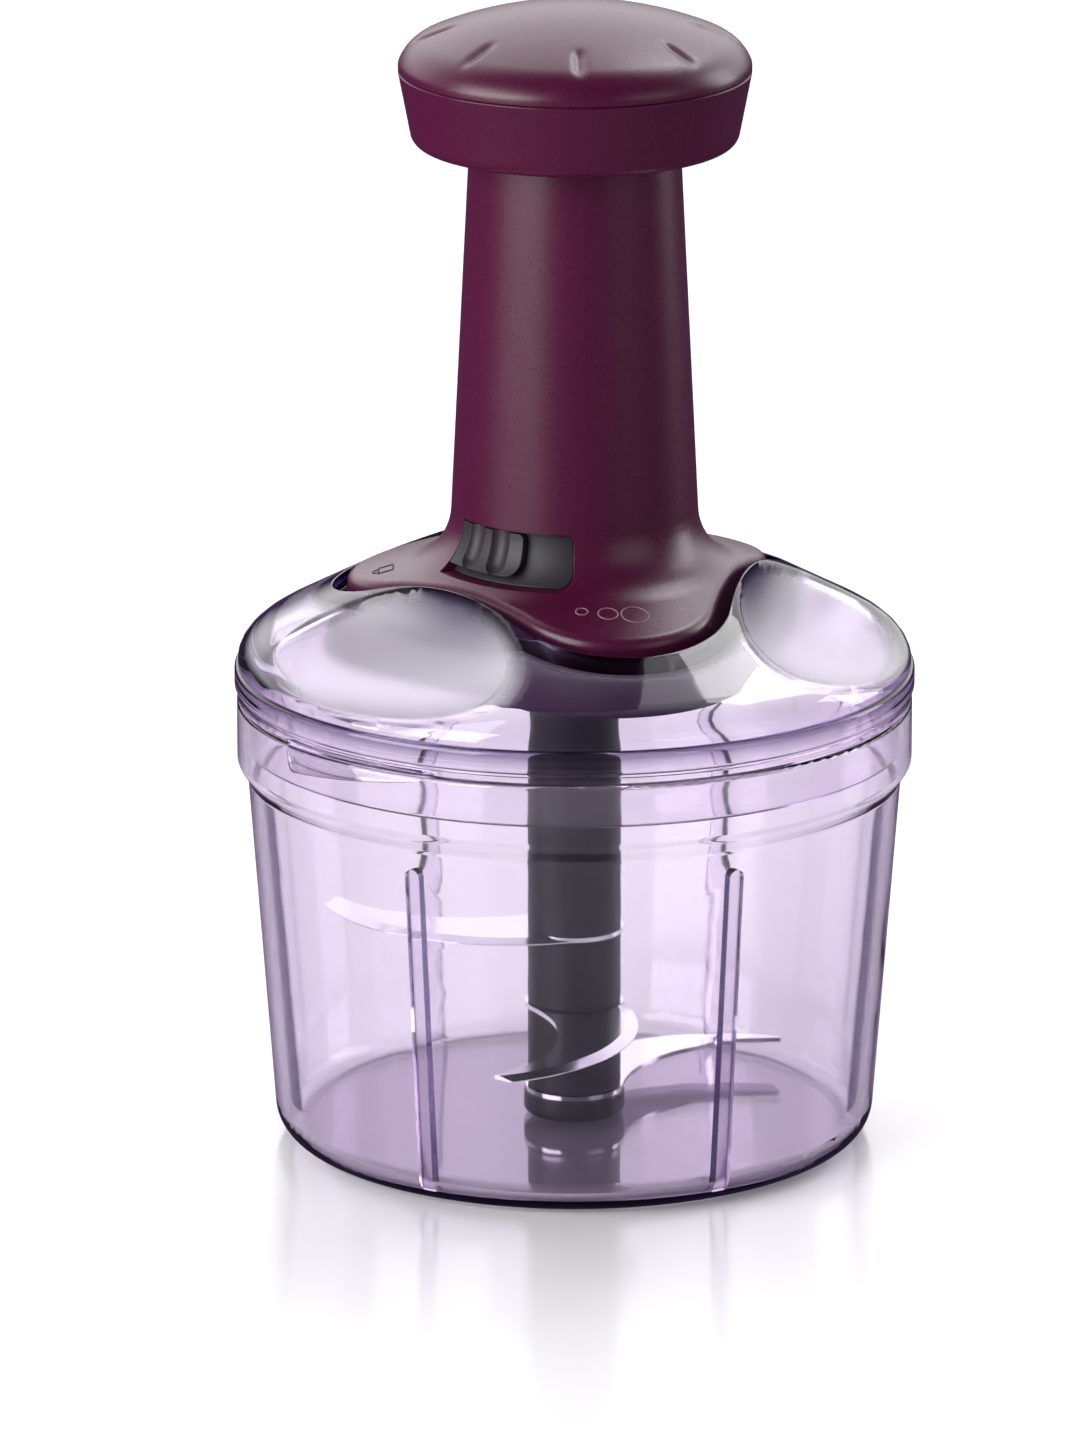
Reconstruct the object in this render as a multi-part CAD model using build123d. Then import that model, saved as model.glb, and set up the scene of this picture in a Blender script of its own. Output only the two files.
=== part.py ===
from build123d import *

import math
import os

# Push chopper. Millimetres, +Z up, origin at the centre of the bowl's underside.
# Azimuths are in degrees from +X, counter-clockwise seen from above; the user faces +Y.

# Clearances that several pieces share
seat_gap = 0.3
slip_gap = 0.35
snug_gap = 0.1
running_gap = 0.05
cut_overrun = 1.0

# Bowl
bowl_height = 99.7
bowl_rim_radius = 74.5
bowl_band_height = 14.0
bowl_step_height = 3.4
bowl_step_inset = 2.3
bowl_taper = 6.2
bowl_wall = 2.4
bowl_floor = 3.0
bowl_corner_round = 7.0
bowl_lip_round = 0.8
rib_count = 6
rib_width = 3.4
rib_depth = 2.6
rib_top_drop = 5.0
boss_radius = 4.5
boss_height = 1.7

# Pin in the bowl's floor that the blades turn on
pivot_radius = 2.5
pivot_height = 13.0
pivot_sink = 2.2
pivot_tip_chamfer = 0.8

# Blade stem and its sleeves
stem_radius = 10.3
stem_core_flats = 11.0
stem_top_gap = 1.5
stem_socket_depth = 17.0
stem_edge_chamfer = 0.5
foot_flare = 0.9
foot_height = 5.2
foot_round = 1.5
foot_floor_gap = 0.6
foot_web = 1.4
lower_spacer_height = 18.4
upper_spacer_height = 16.4

# Blades, all of one shape, drawn pointing along +X with the leading edge on the +Y side
blade_thickness = 1.0
blade_hub_proud = 0.6
blade_tip_gap = 3.5
blade_lead_rise = 12.4
blade_lead_sweep = 13.2
blade_trail_dip = 3.5
blade_tip_width = 3.9
blade_tip_slant = 2.8
blade_heel_angle = 59.0
blade_bevel_width = 2.9
blade_bevel_height = 0.75
upper_blade_azimuth = 176.0
middle_blade_azimuth = 270.0
lower_blade_azimuth = 52.0

# Lid
lid_overhang = 0.5
lid_shoulder_step = 0.6
lid_bead_height = 7.4
lid_bead_round = 1.6
lid_groove_height = 2.2
lid_groove_depth = 0.6
lid_cone_foot_height = 12.0
lid_cone_angle = 28.0
lid_shoulder_round = 10.5
lid_wall = 2.4
plug_gap = 0.4
plug_wall = 2.0
plug_depth = 10.0
pocket_floor_height = 8.8
pocket_floor_thickness = 2.4
pocket_gap = 3.2
pocket_wall = 2.2
pocket_hole_gap = 3.5
dish_inset = 11.0
dish_centre_height = 31.0
dish_half_length = 24.5
dish_half_width = 47.0
dish_half_depth = 21.0
tab_azimuth = 229.0
tab_deep_reach = 20.5
tab_shallow_reach = 22.8
tab_drop = 5.9
tab_rise = 1.8
tab_thickness = 1.4
tab_corner_round = 4.0

# Three-lobed foot of the tower
lobe_count = 3
first_lobe_azimuth = 46.0
lobe_radius = 23.0
lobe_reach = 28.0
waist_sink = 1.3
flare_angle = 17.0
flare_round = 14.0
flare_height = 23.5
flare_edge_round = 2.4
flare_wall = 2.4

# Tower
tower_height = 116.6
tower_top_radius = 23.0
tower_foot_radius = 27.65
tower_wall = 2.2
guide_recess_radius = 25.2
guide_recess_rise = 1.6
screw_boss_radius = 4.0
screw_offset = 7.0

# Base plate, bearing and screws under the tower
base_thickness = 3.0
base_edge_gap = 0.3
bearing_wall = 3.0
bearing_boss_height = 10.0
bush_wall = 2.4
bush_flange_width = 1.8
bush_flange_thickness = 1.5
washer_radius = 8.0
washer_thickness = 1.0
base_screw_radius = 1.5
base_screw_length = 13.0
base_screw_head_radius = 3.2
base_screw_head_height = 2.0
screw_slot_width = 0.9
screw_slot_depth = 0.8

# Return spring and its seat
seat_washer_thickness = 1.0
seat_washer_radius = 16.2
spring_radius = 13.6
spring_wire_radius = 0.8
spring_turns = 8
spring_arcs_per_turn = 4
spring_points_per_turn = 24

# Press cap
press_stroke = 22.5
cap_radius = 38.5
skirt_overlap = 1.4
skirt_height = 16.6
skirt_taper = 3.1
skirt_round = 3.2
skirt_wall = 2.4
skirt_mouth_gap = 2.8
dome_height = 13.9
dome_crown_inset = 5.5
dome_crown_drop = 6.7
dome_edge_straight = 1.4
dome_wall = 2.5
seam_groove = 0.4
seam_round = 0.1
spigot_height = 4.0
spigot_wall = 1.8
dimple_count = 8
dimple_azimuth = 271.7
dimple_inset = 8.2
dimple_half_length = 4.4
dimple_half_width = 2.0
dimple_half_depth = 1.3

# Plunger under the cap, with the nut of the drive
guide_gap = 0.5
guide_wall = 2.8
guide_length = 45.0
guide_flange_height = 5.0
guide_flange_gap = 0.15
plunger_wall = 3.2
plunger_roof_thickness = 2.5
plunger_stop_thickness = 3.0
plunger_key_width = 3.0
plunger_key_height = 1.3
cap_boss_height = 4.0
cap_boss_radius = 3.4
cap_screw_circle = 9.5
cap_screw_radius = 1.4
cap_screw_length = 5.6
cap_screw_head_radius = 2.8
cap_screw_head_height = 1.8
nut_thickness = 6.0
nut_seat_depth = 1.0
nut_ring_thickness = 2.0
nut_ring_bore = 9.0

# Twisted drive rod and its coupling
rod_width = 9.0
rod_thickness = 3.2
rod_lead = 30.0
rod_top_reach = 20.0
rod_collar_radius = 6.5
rod_collar_thickness = 2.0
rod_journal_radius = 4.0
rod_spigot_radius = 3.0
rod_spigot_length = 10.0
coupling_head_radius = 9.0
coupling_head_height = 3.2
coupling_flats = 8.8
coupling_length = 15.0
coupling_pin_radius = 1.0

# Lock slider and its track
window_start_azimuth = 206.5
window_end_azimuth = 269.5
window_drop = 0.9
window_height = 11.4
window_low_round = 3.2
window_high_round = 1.2
track_recess = 1.9
track_flange_angle = 6.0
track_flange_height = 1.3
track_flange_thickness = 1.5
slider_start_azimuth = 208.0
slider_angle = 38.0
slider_low_gap = 2.2
slider_proud = 0.2
lock_angle = 22.0
latch_angle = 13.0
latch_arm_angle = 5.0
latch_arm_rise = 3.9
latch_arm_height = 3.4
latch_foot_rise = 2.4
latch_thickness = 1.9
latch_lip_gap = 0.8
latch_lip_thickness = 3.0
scallop_azimuths = (219.5, 234.0)
scallop_radius = 3.0
scallop_depth = 1.1
scallop_end_rise = 3.0
scallop_start_angle = 10.0

# Heights and radii that follow from the sizes above
bowl_shoulder_radius = bowl_rim_radius - bowl_step_inset
bowl_foot_radius = bowl_shoulder_radius - bowl_taper
blade_reach = bowl_foot_radius - bowl_wall - rib_depth - blade_tip_gap
bowl_band_bottom = bowl_height - bowl_band_height
bowl_step_bottom = bowl_band_bottom - bowl_step_height
bowl_bore_radius = bowl_rim_radius - bowl_wall
pivot_top = bowl_floor + boss_height + pivot_height

lid_bottom = bowl_height + seat_gap
lid_rim_radius = bowl_rim_radius + lid_overhang
lid_edge_radius = lid_rim_radius - lid_shoulder_step
lid_cone_foot = lid_bottom + lid_cone_foot_height
plug_radius = bowl_bore_radius - plug_gap
pocket_top = lid_bottom + pocket_floor_height
pocket_bottom = pocket_top - pocket_floor_thickness
pocket_hole_radius = coupling_head_radius + pocket_hole_gap
dish_centre_radius = lid_rim_radius - dish_inset

foot_radius = stem_radius + foot_flare
foot_bottom = bowl_floor + foot_floor_gap
blade_hub_radius = stem_radius + blade_hub_proud
lower_blade_bottom = foot_bottom + foot_height
lower_spacer_bottom = lower_blade_bottom + blade_thickness
middle_blade_bottom = lower_spacer_bottom + lower_spacer_height
upper_spacer_bottom = middle_blade_bottom + blade_thickness
upper_blade_bottom = upper_spacer_bottom + upper_spacer_height
stem_sleeve_bottom = upper_blade_bottom + blade_thickness
stem_top = pocket_bottom - stem_top_gap
stem_socket_flats = coupling_flats + 2 * seat_gap
core_bottom = bowl_floor + boss_height + seat_gap + foot_web

lobe_tip_radius = lobe_reach + lobe_radius
waist_radius = lobe_reach / 2 + lobe_radius - waist_sink
waist_round = (
    lobe_reach**2 + waist_radius**2 - lobe_reach * waist_radius - lobe_radius**2
) / (2 * waist_sink)
waist_centre = waist_radius + waist_round
screw_circle = lobe_reach + screw_offset

base_bottom = pocket_top
base_top = base_bottom + base_thickness
bush_radius = rod_journal_radius + bush_wall
bush_flange_radius = bush_radius + bush_flange_width
bearing_boss_radius = bush_radius + snug_gap + bearing_wall
bearing_top = base_bottom + bearing_boss_height
bush_top = bearing_top + bush_flange_thickness
washer_top = bush_top + washer_thickness
spring_bottom = base_top + seat_washer_thickness

flare_corner_height = base_bottom + flare_height
tower_top_height = base_bottom + tower_height
skirt_bottom_height = tower_top_height - skirt_overlap
skirt_bottom_radius = cap_radius - skirt_taper
skirt_mouth_radius = tower_top_radius + skirt_mouth_gap
seam_height = skirt_bottom_height + skirt_height
cap_top_height = seam_height + dome_height
dome_crown_radius = cap_radius - dome_crown_inset
dimple_circle = cap_radius - dimple_inset

plunger_stop_radius = tower_top_radius - tower_wall - guide_gap
plunger_radius = plunger_stop_radius - guide_wall
guide_bottom = tower_top_height - guide_length
plunger_stop_top = guide_bottom - seat_gap
plunger_bottom = plunger_stop_top - plunger_stop_thickness
plunger_bore_radius = plunger_radius - plunger_wall
plunger_roof_top = cap_top_height - dome_wall - cap_boss_height
plunger_roof_height = plunger_roof_top - plunger_roof_thickness
nut_radius = plunger_bore_radius + nut_seat_depth
nut_bottom = plunger_bottom + nut_ring_thickness
nut_top = nut_bottom + nut_thickness

rod_collar_bottom = washer_top + snug_gap
rod_collar_top = rod_collar_bottom + rod_collar_thickness
rod_top_height = nut_top + rod_top_reach
coupling_top = base_bottom - seat_gap
coupling_head_bottom = coupling_top - coupling_head_height
coupling_bottom = coupling_head_bottom - coupling_length
coupling_pin_height = (coupling_top + coupling_head_bottom) / 2
rod_bottom = coupling_head_bottom - rod_spigot_length

window_bottom = flare_corner_height - window_drop
window_top = window_bottom + window_height
guide_recess_top = window_top + guide_recess_rise
track_flange_outer = guide_recess_radius - snug_gap
track_flange_inner = track_flange_outer - track_flange_thickness
slider_bottom = window_bottom + slider_low_gap
slider_top = window_top - slip_gap
arm_gap_angle = math.degrees(slip_gap / guide_recess_radius)
arm_start_azimuth = slider_start_azimuth + arm_gap_angle
latch_arm_bottom = window_bottom + latch_arm_rise
latch_arm_top = latch_arm_bottom + latch_arm_height
latch_outer_radius = track_flange_inner - slip_gap
latch_lip_inner_radius = plunger_radius + latch_lip_gap
latch_lip_bottom = plunger_stop_top - press_stroke + slip_gap
latch_lip_top = latch_lip_bottom + latch_lip_thickness


# Small helpers


def around(radius, azimuth, height=0):
    """Point at a radius, an azimuth in degrees and a height."""
    angle = math.radians(azimuth)
    return Vector(radius * math.cos(angle), radius * math.sin(angle), height)


def disc(radius, bottom, top):
    """Upright cylinder on the Z axis between two heights."""
    base = (Align.CENTER, Align.CENTER, Align.MIN)
    return Pos(0, 0, bottom) * Cylinder(radius, top - bottom, align=base)


def ring(outer_radius, inner_radius, bottom, top):
    """Upright tube on the Z axis between two heights."""
    bore = disc(inner_radius, bottom - cut_overrun, top + cut_overrun)
    return disc(outer_radius, bottom, top) - bore


def hexagon(flats, bottom, top):
    """Upright hexagonal bar on the Z axis, given across its flats."""
    outline = RegularPolygon(flats / 2, 6, major_radius=False)
    return Pos(0, 0, bottom) * extrude(outline, amount=top - bottom)


def turned(edges):
    """Solid turned about the Z axis from edges drawn as radius and height."""
    profile = make_face(edges)
    return revolve(Plane.XZ * profile, Axis.Z)


def turned_polygon(points):
    """Solid turned about the Z axis from corners given as radius and height."""
    return turned(Polyline(*points, close=True))


def sector(inner_radius, outer_radius, start, angle, bottom, top):
    """Part of an upright tube, from a start azimuth over an angle."""
    corners = [
        (inner_radius, bottom),
        (outer_radius, bottom),
        (outer_radius, top),
        (inner_radius, top),
    ]
    profile = make_face(Polyline(*corners, close=True))
    return Rot(0, 0, start) * revolve(Plane.XZ * profile, Axis.Z, revolution_arc=angle)


def lobed(offset, bottom, top):
    """Upright three-lobed prism whose outline lies an offset outside the tower's foot."""
    step = 360 / lobe_count
    round_out = lobe_radius + offset
    round_in = waist_round - offset
    arcs = []
    for index in range(lobe_count):
        lobe_azimuth = first_lobe_azimuth + step * index
        lobe_centre = around(lobe_reach, lobe_azimuth)
        before_centre = around(waist_centre, lobe_azimuth - step / 2)
        after_centre = around(waist_centre, lobe_azimuth + step / 2)
        next_centre = around(lobe_reach, lobe_azimuth + step)
        lobe_start = lobe_centre + (before_centre - lobe_centre).normalized() * round_out
        lobe_end = lobe_centre + (after_centre - lobe_centre).normalized() * round_out
        waist_end = next_centre + (after_centre - next_centre).normalized() * round_out
        lobe_tip = around(lobe_tip_radius + offset, lobe_azimuth)
        waist_middle = around(waist_centre - round_in, lobe_azimuth + step / 2)
        arcs.append(ThreePointArc(lobe_start, lobe_tip, lobe_end))
        arcs.append(ThreePointArc(lobe_end, waist_middle, waist_end))
    outline = make_face(arcs)
    return Pos(0, 0, bottom) * extrude(outline, amount=top - bottom, dir=(0, 0, 1))


def screws(radius, length, head_radius, head_height, circle, start, seat):
    """Three slotted screws on a circle, pointing up, heads below the seat height."""
    shank = disc(radius, seat, seat + length)
    head = disc(head_radius, seat - head_height, seat)
    slot = Box(2 * head_radius, screw_slot_width, screw_slot_depth)
    slot_middle = seat - head_height + screw_slot_depth / 2
    screw = shank + head - Pos(0, 0, slot_middle) * slot
    return Compound(
        children=[
            Pos(*around(circle, start + 360 / lobe_count * index)) * screw
            for index in range(lobe_count)
        ]
    )


def twisted_bar(width, thickness, bottom, top):
    """Flat bar that turns about the Z axis by one turn in each lead of height."""
    first_turn = 360 * (bottom - rod_collar_top) / rod_lead
    section = Rot(0, 0, first_turn) * Rectangle(width, thickness)
    turn = 360 * (top - bottom) / rod_lead
    bar = Solid.extrude_linear_with_rotation(
        section.face(), (0, 0, 0), (0, 0, top - bottom), turn
    )
    return Pos(0, 0, bottom) * bar


# Bowl and its pivot


def bowl():
    """Clear bowl: tapered wall, stepped rim band, thick floor and inner ribs."""
    outside = FilletPolyline(
        (0, 0),
        (bowl_foot_radius, 0),
        (bowl_shoulder_radius, bowl_step_bottom),
        (bowl_rim_radius, bowl_band_bottom),
        (bowl_rim_radius, bowl_height),
        radius=[bowl_corner_round, bowl_wall, bowl_wall],
    )
    closing = Polyline(
        (bowl_rim_radius, bowl_height),
        (0, bowl_height),
        (0, 0),
    )
    body = turned(outside + closing)
    hollow_corner = bowl_corner_round - bowl_wall
    inside = FilletPolyline(
        (0, bowl_floor),
        (bowl_foot_radius - bowl_wall, bowl_floor),
        (bowl_shoulder_radius - bowl_wall, bowl_step_bottom),
        (bowl_bore_radius, bowl_band_bottom),
        (bowl_bore_radius, bowl_height + cut_overrun),
        radius=[hollow_corner, bowl_wall, bowl_wall],
    )
    mouth = Polyline(
        (bowl_bore_radius, bowl_height + cut_overrun),
        (0, bowl_height + cut_overrun),
        (0, bowl_floor),
    )
    hollow = turned(inside + mouth)
    shell = body - hollow
    shell += ribs() & hollow
    shell += disc(boss_radius, bowl_floor - cut_overrun, bowl_floor + boss_height)
    shell -= disc(pivot_radius, bowl_floor - pivot_sink, pivot_top)
    rim = shell.edges().group_by(Axis.Z)[-1]
    return fillet(rim, bowl_lip_round)


def ribs():
    """Upright ribs with round tops that stand against the inside of the bowl's wall."""
    top = bowl_step_bottom - rib_top_drop
    outer = bowl_shoulder_radius
    foot_reach = bowl_foot_radius - bowl_wall - rib_depth
    top_reach = bowl_shoulder_radius - bowl_wall - rib_depth
    side = Polyline(
        (foot_reach, bowl_floor),
        (outer, bowl_floor),
        (outer, top),
        (top_reach, top),
        close=True,
    )
    blank = extrude(Plane.XZ * make_face(side), amount=rib_width / 2, both=True)
    rounding = Rot(0, 90, 0) * Cylinder(rib_width / 2, 2 * outer)
    below = Box(2 * outer, rib_width, 2 * (top - rib_width / 2))
    rib = blank & (below + Pos(0, 0, top - rib_width / 2) * rounding)
    group = [Rot(0, 0, 360 / rib_count * index) * rib for index in range(rib_count)]
    return group[0].fuse(*group[1:])


def bowl_pivot_pin():
    """Steel pin that stands in the bowl's floor."""
    pin = disc(pivot_radius, bowl_floor - pivot_sink, pivot_top)
    tip = pin.edges().group_by(Axis.Z)[-1]
    return chamfer(tip, pivot_tip_chamfer)


# Blade stem


def core_hole(bottom, top):
    """Hexagonal hole for the stem's core."""
    return hexagon(stem_core_flats + 2 * snug_gap, bottom - cut_overrun, top + cut_overrun)


def blade_stem():
    """Stem: upper sleeve with the drive socket, and the hexagonal core below it."""
    sleeve = disc(stem_radius, stem_sleeve_bottom, stem_top)
    sleeve = chamfer(sleeve.edges().group_by(Axis.Z)[-1], stem_edge_chamfer)
    core = hexagon(stem_core_flats, core_bottom, stem_sleeve_bottom)
    socket_bottom = stem_top - stem_socket_depth
    socket = hexagon(stem_socket_flats, socket_bottom, stem_top + cut_overrun)
    bore = disc(pivot_radius + running_gap, core_bottom - cut_overrun, pivot_top + seat_gap)
    return sleeve + core - socket - bore


def spacer(bottom, top):
    """Sleeve between two blades."""
    sleeve = disc(stem_radius, bottom, top) - core_hole(bottom, top)
    rims = sleeve.faces().sort_by(SortBy.AREA)[-1].edges().filter_by(GeomType.CIRCLE)
    return chamfer(rims, stem_edge_chamfer)


def lower_spacer():
    """Sleeve between the lower and the middle blade."""
    return spacer(lower_spacer_bottom, middle_blade_bottom)


def upper_spacer():
    """Sleeve between the middle and the upper blade."""
    return spacer(upper_spacer_bottom, upper_blade_bottom)


def stem_foot():
    """Foot of the stem, with the core's socket and the bore for the pivot pin."""
    foot = disc(foot_radius, foot_bottom, lower_blade_bottom)
    foot = fillet(foot.edges().group_by(Axis.Z)[0], foot_round)
    foot = chamfer(foot.edges().group_by(Axis.Z)[-1], stem_edge_chamfer)
    recess = disc(boss_radius + slip_gap, foot_bottom - cut_overrun, core_bottom - foot_web)
    bore = disc(pivot_radius + running_gap, foot_bottom, lower_blade_bottom)
    socket = hexagon(stem_core_flats + 2 * snug_gap, core_bottom, lower_blade_bottom + cut_overrun)
    return foot - recess - bore - socket


def blade(azimuth, bottom):
    """Sickle blade whose round edge leads, bevelled along that edge."""
    middle = blade_reach / 2
    lead_root = Vector(0, blade_hub_radius)
    lead_middle = Vector(middle, blade_lead_rise)
    lead_tip = Vector(blade_reach, -blade_lead_sweep)
    trail_tip = lead_tip - Vector(blade_tip_slant, blade_tip_width)
    trail_middle = Vector(middle, -blade_trail_dip)
    trail_root = around(blade_hub_radius, -blade_heel_angle)
    lead = ThreePointArc(lead_root, lead_middle, lead_tip)
    trail = ThreePointArc(trail_tip, trail_middle, trail_root)
    outline = make_face([lead, Line(lead_tip, trail_tip), trail, Line(trail_root, lead_root)])
    arm = extrude(outline, amount=blade_thickness, dir=(0, 0, 1))
    lead_edge = arm.faces().sort_by(Axis.Z)[-1].edges().sort_by_distance(lead_middle)[0]
    lead_face = arm.faces().sort_by_distance(lead_middle)[0]
    arm = chamfer(lead_edge, blade_bevel_height, blade_bevel_width, reference=lead_face)
    plate = Rot(0, 0, azimuth) * (arm + disc(blade_hub_radius, 0, blade_thickness))
    return Pos(0, 0, bottom) * (plate - core_hole(0, blade_thickness))


def upper_blade():
    """Blade below the stem's upper sleeve."""
    return blade(upper_blade_azimuth, upper_blade_bottom)


def middle_blade():
    """Blade between the two spacers."""
    return blade(middle_blade_azimuth, middle_blade_bottom)


def lower_blade():
    """Blade on the stem's foot."""
    return blade(lower_blade_azimuth, lower_blade_bottom)


# Lid


def lid_cone_height(radius, below=0):
    """Height of the lid's cone at a radius, measured square to the cone below it."""
    slope = math.radians(lid_cone_angle)
    rise = (lid_edge_radius - radius) * math.tan(slope)
    return lid_cone_foot + rise - below / math.cos(slope)


def lid_outside():
    """Filled outer form of the lid: plug, rolled rim, round shoulder and cone."""
    bead_bottom = lid_bottom + lid_groove_height
    bead_top = lid_bottom + lid_bead_height
    cone = FilletPolyline(
        (lid_edge_radius, lid_bottom),
        (lid_edge_radius, lid_cone_height(lid_edge_radius)),
        (0, lid_cone_height(0)),
        radius=[lid_shoulder_round],
    )
    rest = Polyline(
        (0, lid_cone_height(0)),
        (0, lid_bottom - plug_depth),
        (plug_radius, lid_bottom - plug_depth),
        (plug_radius, lid_bottom),
        (lid_edge_radius, lid_bottom),
    )
    form = turned(cone + rest)
    bead = ring(lid_rim_radius, plug_radius, bead_bottom, bead_top)
    bead_edges = bead.faces().sort_by(SortBy.AREA)[-1].edges().filter_by(GeomType.CIRCLE)
    form += fillet(bead_edges, lid_bead_round)
    groove = ring(
        lid_rim_radius + cut_overrun,
        lid_edge_radius - lid_groove_depth,
        bead_bottom - lid_groove_depth,
        bead_bottom,
    )
    return form - groove


def lid_inside():
    """Filled inner form of the lid, one wall inside its outer form."""
    bore = plug_radius - plug_wall
    inside = FilletPolyline(
        (bore, lid_bottom - plug_depth - cut_overrun),
        (bore, lid_cone_height(bore, lid_wall)),
        (0, lid_cone_height(0, lid_wall)),
        radius=[lid_shoulder_round - lid_wall],
    )
    closing = Polyline(
        (0, lid_cone_height(0, lid_wall)),
        (0, lid_bottom - plug_depth - cut_overrun),
        (bore, lid_bottom - plug_depth - cut_overrun),
    )
    return turned(inside + closing)


def dishes(grown):
    """Three egg-shaped scoops between the lobes, grown by a wall where asked."""
    egg = scale(
        Sphere(1),
        by=(dish_half_length + grown, dish_half_width + grown, dish_half_depth + grown),
    )
    placed = Pos(dish_centre_radius, 0, lid_bottom + dish_centre_height) * egg
    step = 360 / lobe_count
    first = first_lobe_azimuth + step / 2
    group = [Rot(0, 0, first + step * index) * placed for index in range(lobe_count)]
    return group[0].fuse(*group[1:])


def thumb_tab():
    """Curved flap below the lid's rim, deep at one end, that a thumb lifts."""
    low = lid_bottom - tab_drop
    high = lid_bottom + tab_rise
    edge = FilletPolyline(
        (-tab_deep_reach, high),
        (-tab_deep_reach, low),
        (tab_shallow_reach, lid_bottom),
        radius=[tab_corner_round],
    )
    closing = Polyline(
        (tab_shallow_reach, lid_bottom),
        (tab_shallow_reach, high),
        (-tab_deep_reach, high),
    )
    side = Plane(
        origin=(0, 0, 0),
        x_dir=around(1, tab_azimuth + 90),
        z_dir=around(1, tab_azimuth),
    )
    clear = bowl_rim_radius + seat_gap
    outer = clear + tab_thickness
    flap = extrude(side * make_face(edge + closing), amount=outer + cut_overrun)
    band = ring(outer, plug_radius, low, high)
    band -= disc(clear, low - cut_overrun, lid_bottom)
    return flap & band


def lid():
    """Clear lid: cone with three dishes, lobed pocket for the tower, plug and tab."""
    above = lid_cone_height(0) + cut_overrun
    pocket_outside = lobed(pocket_gap + pocket_wall, pocket_bottom, above)
    pocket_inside = lobed(pocket_gap, pocket_top, above)
    cavity = lid_inside() - dishes(lid_wall) - pocket_outside
    shell = lid_outside() - dishes(0) - cavity - pocket_inside
    shell -= disc(pocket_hole_radius, pocket_bottom - cut_overrun, pocket_top + cut_overrun)
    shell -= screw_holes(pocket_bottom - cut_overrun, pocket_top + cut_overrun)
    return shell + thumb_tab()


def screw_holes(bottom, top):
    """Clearance holes for the three base screws."""
    hole = disc(base_screw_radius + snug_gap, bottom, top)
    step = 360 / lobe_count
    group = [
        Pos(*around(screw_circle, first_lobe_azimuth + step * index)) * hole
        for index in range(lobe_count)
    ]
    return group[0].fuse(*group[1:])


# Tower


def tower_radius(height):
    """Outer radius of the tower's straight taper at a height."""
    share = (tower_top_height - height) / (tower_top_height - flare_corner_height)
    return tower_top_radius + share * (tower_foot_radius - tower_top_radius)


def flare_form(offset, bottom):
    """Filled tower and flare, an offset outside the tower's own surface."""
    edge = lobe_tip_radius + lobe_radius
    drop = (edge - tower_foot_radius) * math.tan(math.radians(flare_angle))
    lift = offset / math.cos(math.radians(flare_angle))
    outside = FilletPolyline(
        (tower_top_radius + offset, tower_top_height),
        (tower_foot_radius + offset, flare_corner_height + lift),
        (edge, flare_corner_height - drop + lift),
        radius=[flare_round - offset],
    )
    closing = Polyline(
        (edge, flare_corner_height - drop + lift),
        (edge, bottom),
        (0, bottom),
        (0, tower_top_height),
        (tower_top_radius + offset, tower_top_height),
    )
    return turned(outside + closing)


def tower_outside():
    """Filled tower: taper, flare cut to the lobed outline, rounded along its edge."""
    form = flare_form(0, base_bottom) & lobed(0, base_bottom, tower_top_height)
    sides = [
        edge
        for edge in form.edges()
        if base_top < edge.center().Z < flare_corner_height + flare_round
        and edge.geom_type != GeomType.LINE
    ]
    return fillet(sides, flare_edge_round)


def tower_hollow():
    """Hollow of the tower: room for plunger and spring above, for the base plate below."""
    slope = math.tan(math.radians(flare_angle))
    edge = lobe_tip_radius
    below = flare_wall / math.cos(math.radians(flare_angle))
    roof_edge = flare_corner_height - (edge - tower_foot_radius) * slope - below
    roof_inner = roof_edge + (edge - guide_recess_radius) * slope
    low = base_bottom - cut_overrun
    lower = turned_polygon(
        [
            (0, low),
            (edge, low),
            (edge, roof_edge),
            (guide_recess_radius, roof_inner),
            (0, roof_inner),
        ]
    )
    lower = lower & lobed(-flare_wall, low, roof_inner)
    high = tower_top_height + cut_overrun
    upper = turned_polygon(
        [
            (0, low),
            (guide_recess_radius, low),
            (guide_recess_radius, guide_recess_top),
            (tower_radius(guide_recess_top) - tower_wall, guide_recess_top),
            (tower_radius(high) - tower_wall, high),
            (0, high),
        ]
    )
    return lower + upper


def lock_sector(start, end, bottom, top):
    """Sector through the foot of the tower whose corners at its end are rounded."""
    inner = guide_recess_radius - tower_wall
    form = sector(inner, lobe_tip_radius, start, end - start, bottom, top)
    far = around((inner + lobe_tip_radius) / 2, end, (bottom + top) / 2)
    for level, round_radius in ((0, window_low_round), (-1, window_high_round)):
        end_face = form.faces().sort_by_distance(far)[0]
        form = fillet(end_face.edges().group_by(Axis.Z)[level], round_radius)
    return form


def lock_window(grown):
    """Opening for the lock in the foot of the tower, grown on all sides."""
    extra = math.degrees(grown / guide_recess_radius)
    return lock_sector(
        window_start_azimuth - extra,
        window_end_azimuth + extra,
        window_bottom - grown,
        window_top + grown,
    )


def tower_housing():
    """Plum tower with its lobed foot, hollow, with screw bosses and the lock's opening."""
    shell = tower_outside() - tower_hollow()
    half_wall = flare_wall / 2
    outline = lobed(-half_wall, base_bottom, tower_top_height)
    roof = flare_form(-half_wall, base_bottom) & outline
    boss = disc(screw_boss_radius, base_top, flare_corner_height)
    pilot_top = pocket_bottom + base_screw_length + seat_gap
    pilot = disc(base_screw_radius + running_gap, base_top - cut_overrun, pilot_top)
    step = 360 / lobe_count
    for index in range(lobe_count):
        spot = Pos(*around(screw_circle, first_lobe_azimuth + step * index))
        shell += (spot * boss) & roof
        shell -= spot * pilot
    shell -= lock_window(0)
    return shell


# Base plate, bearing, screws and spring under the tower


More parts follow.
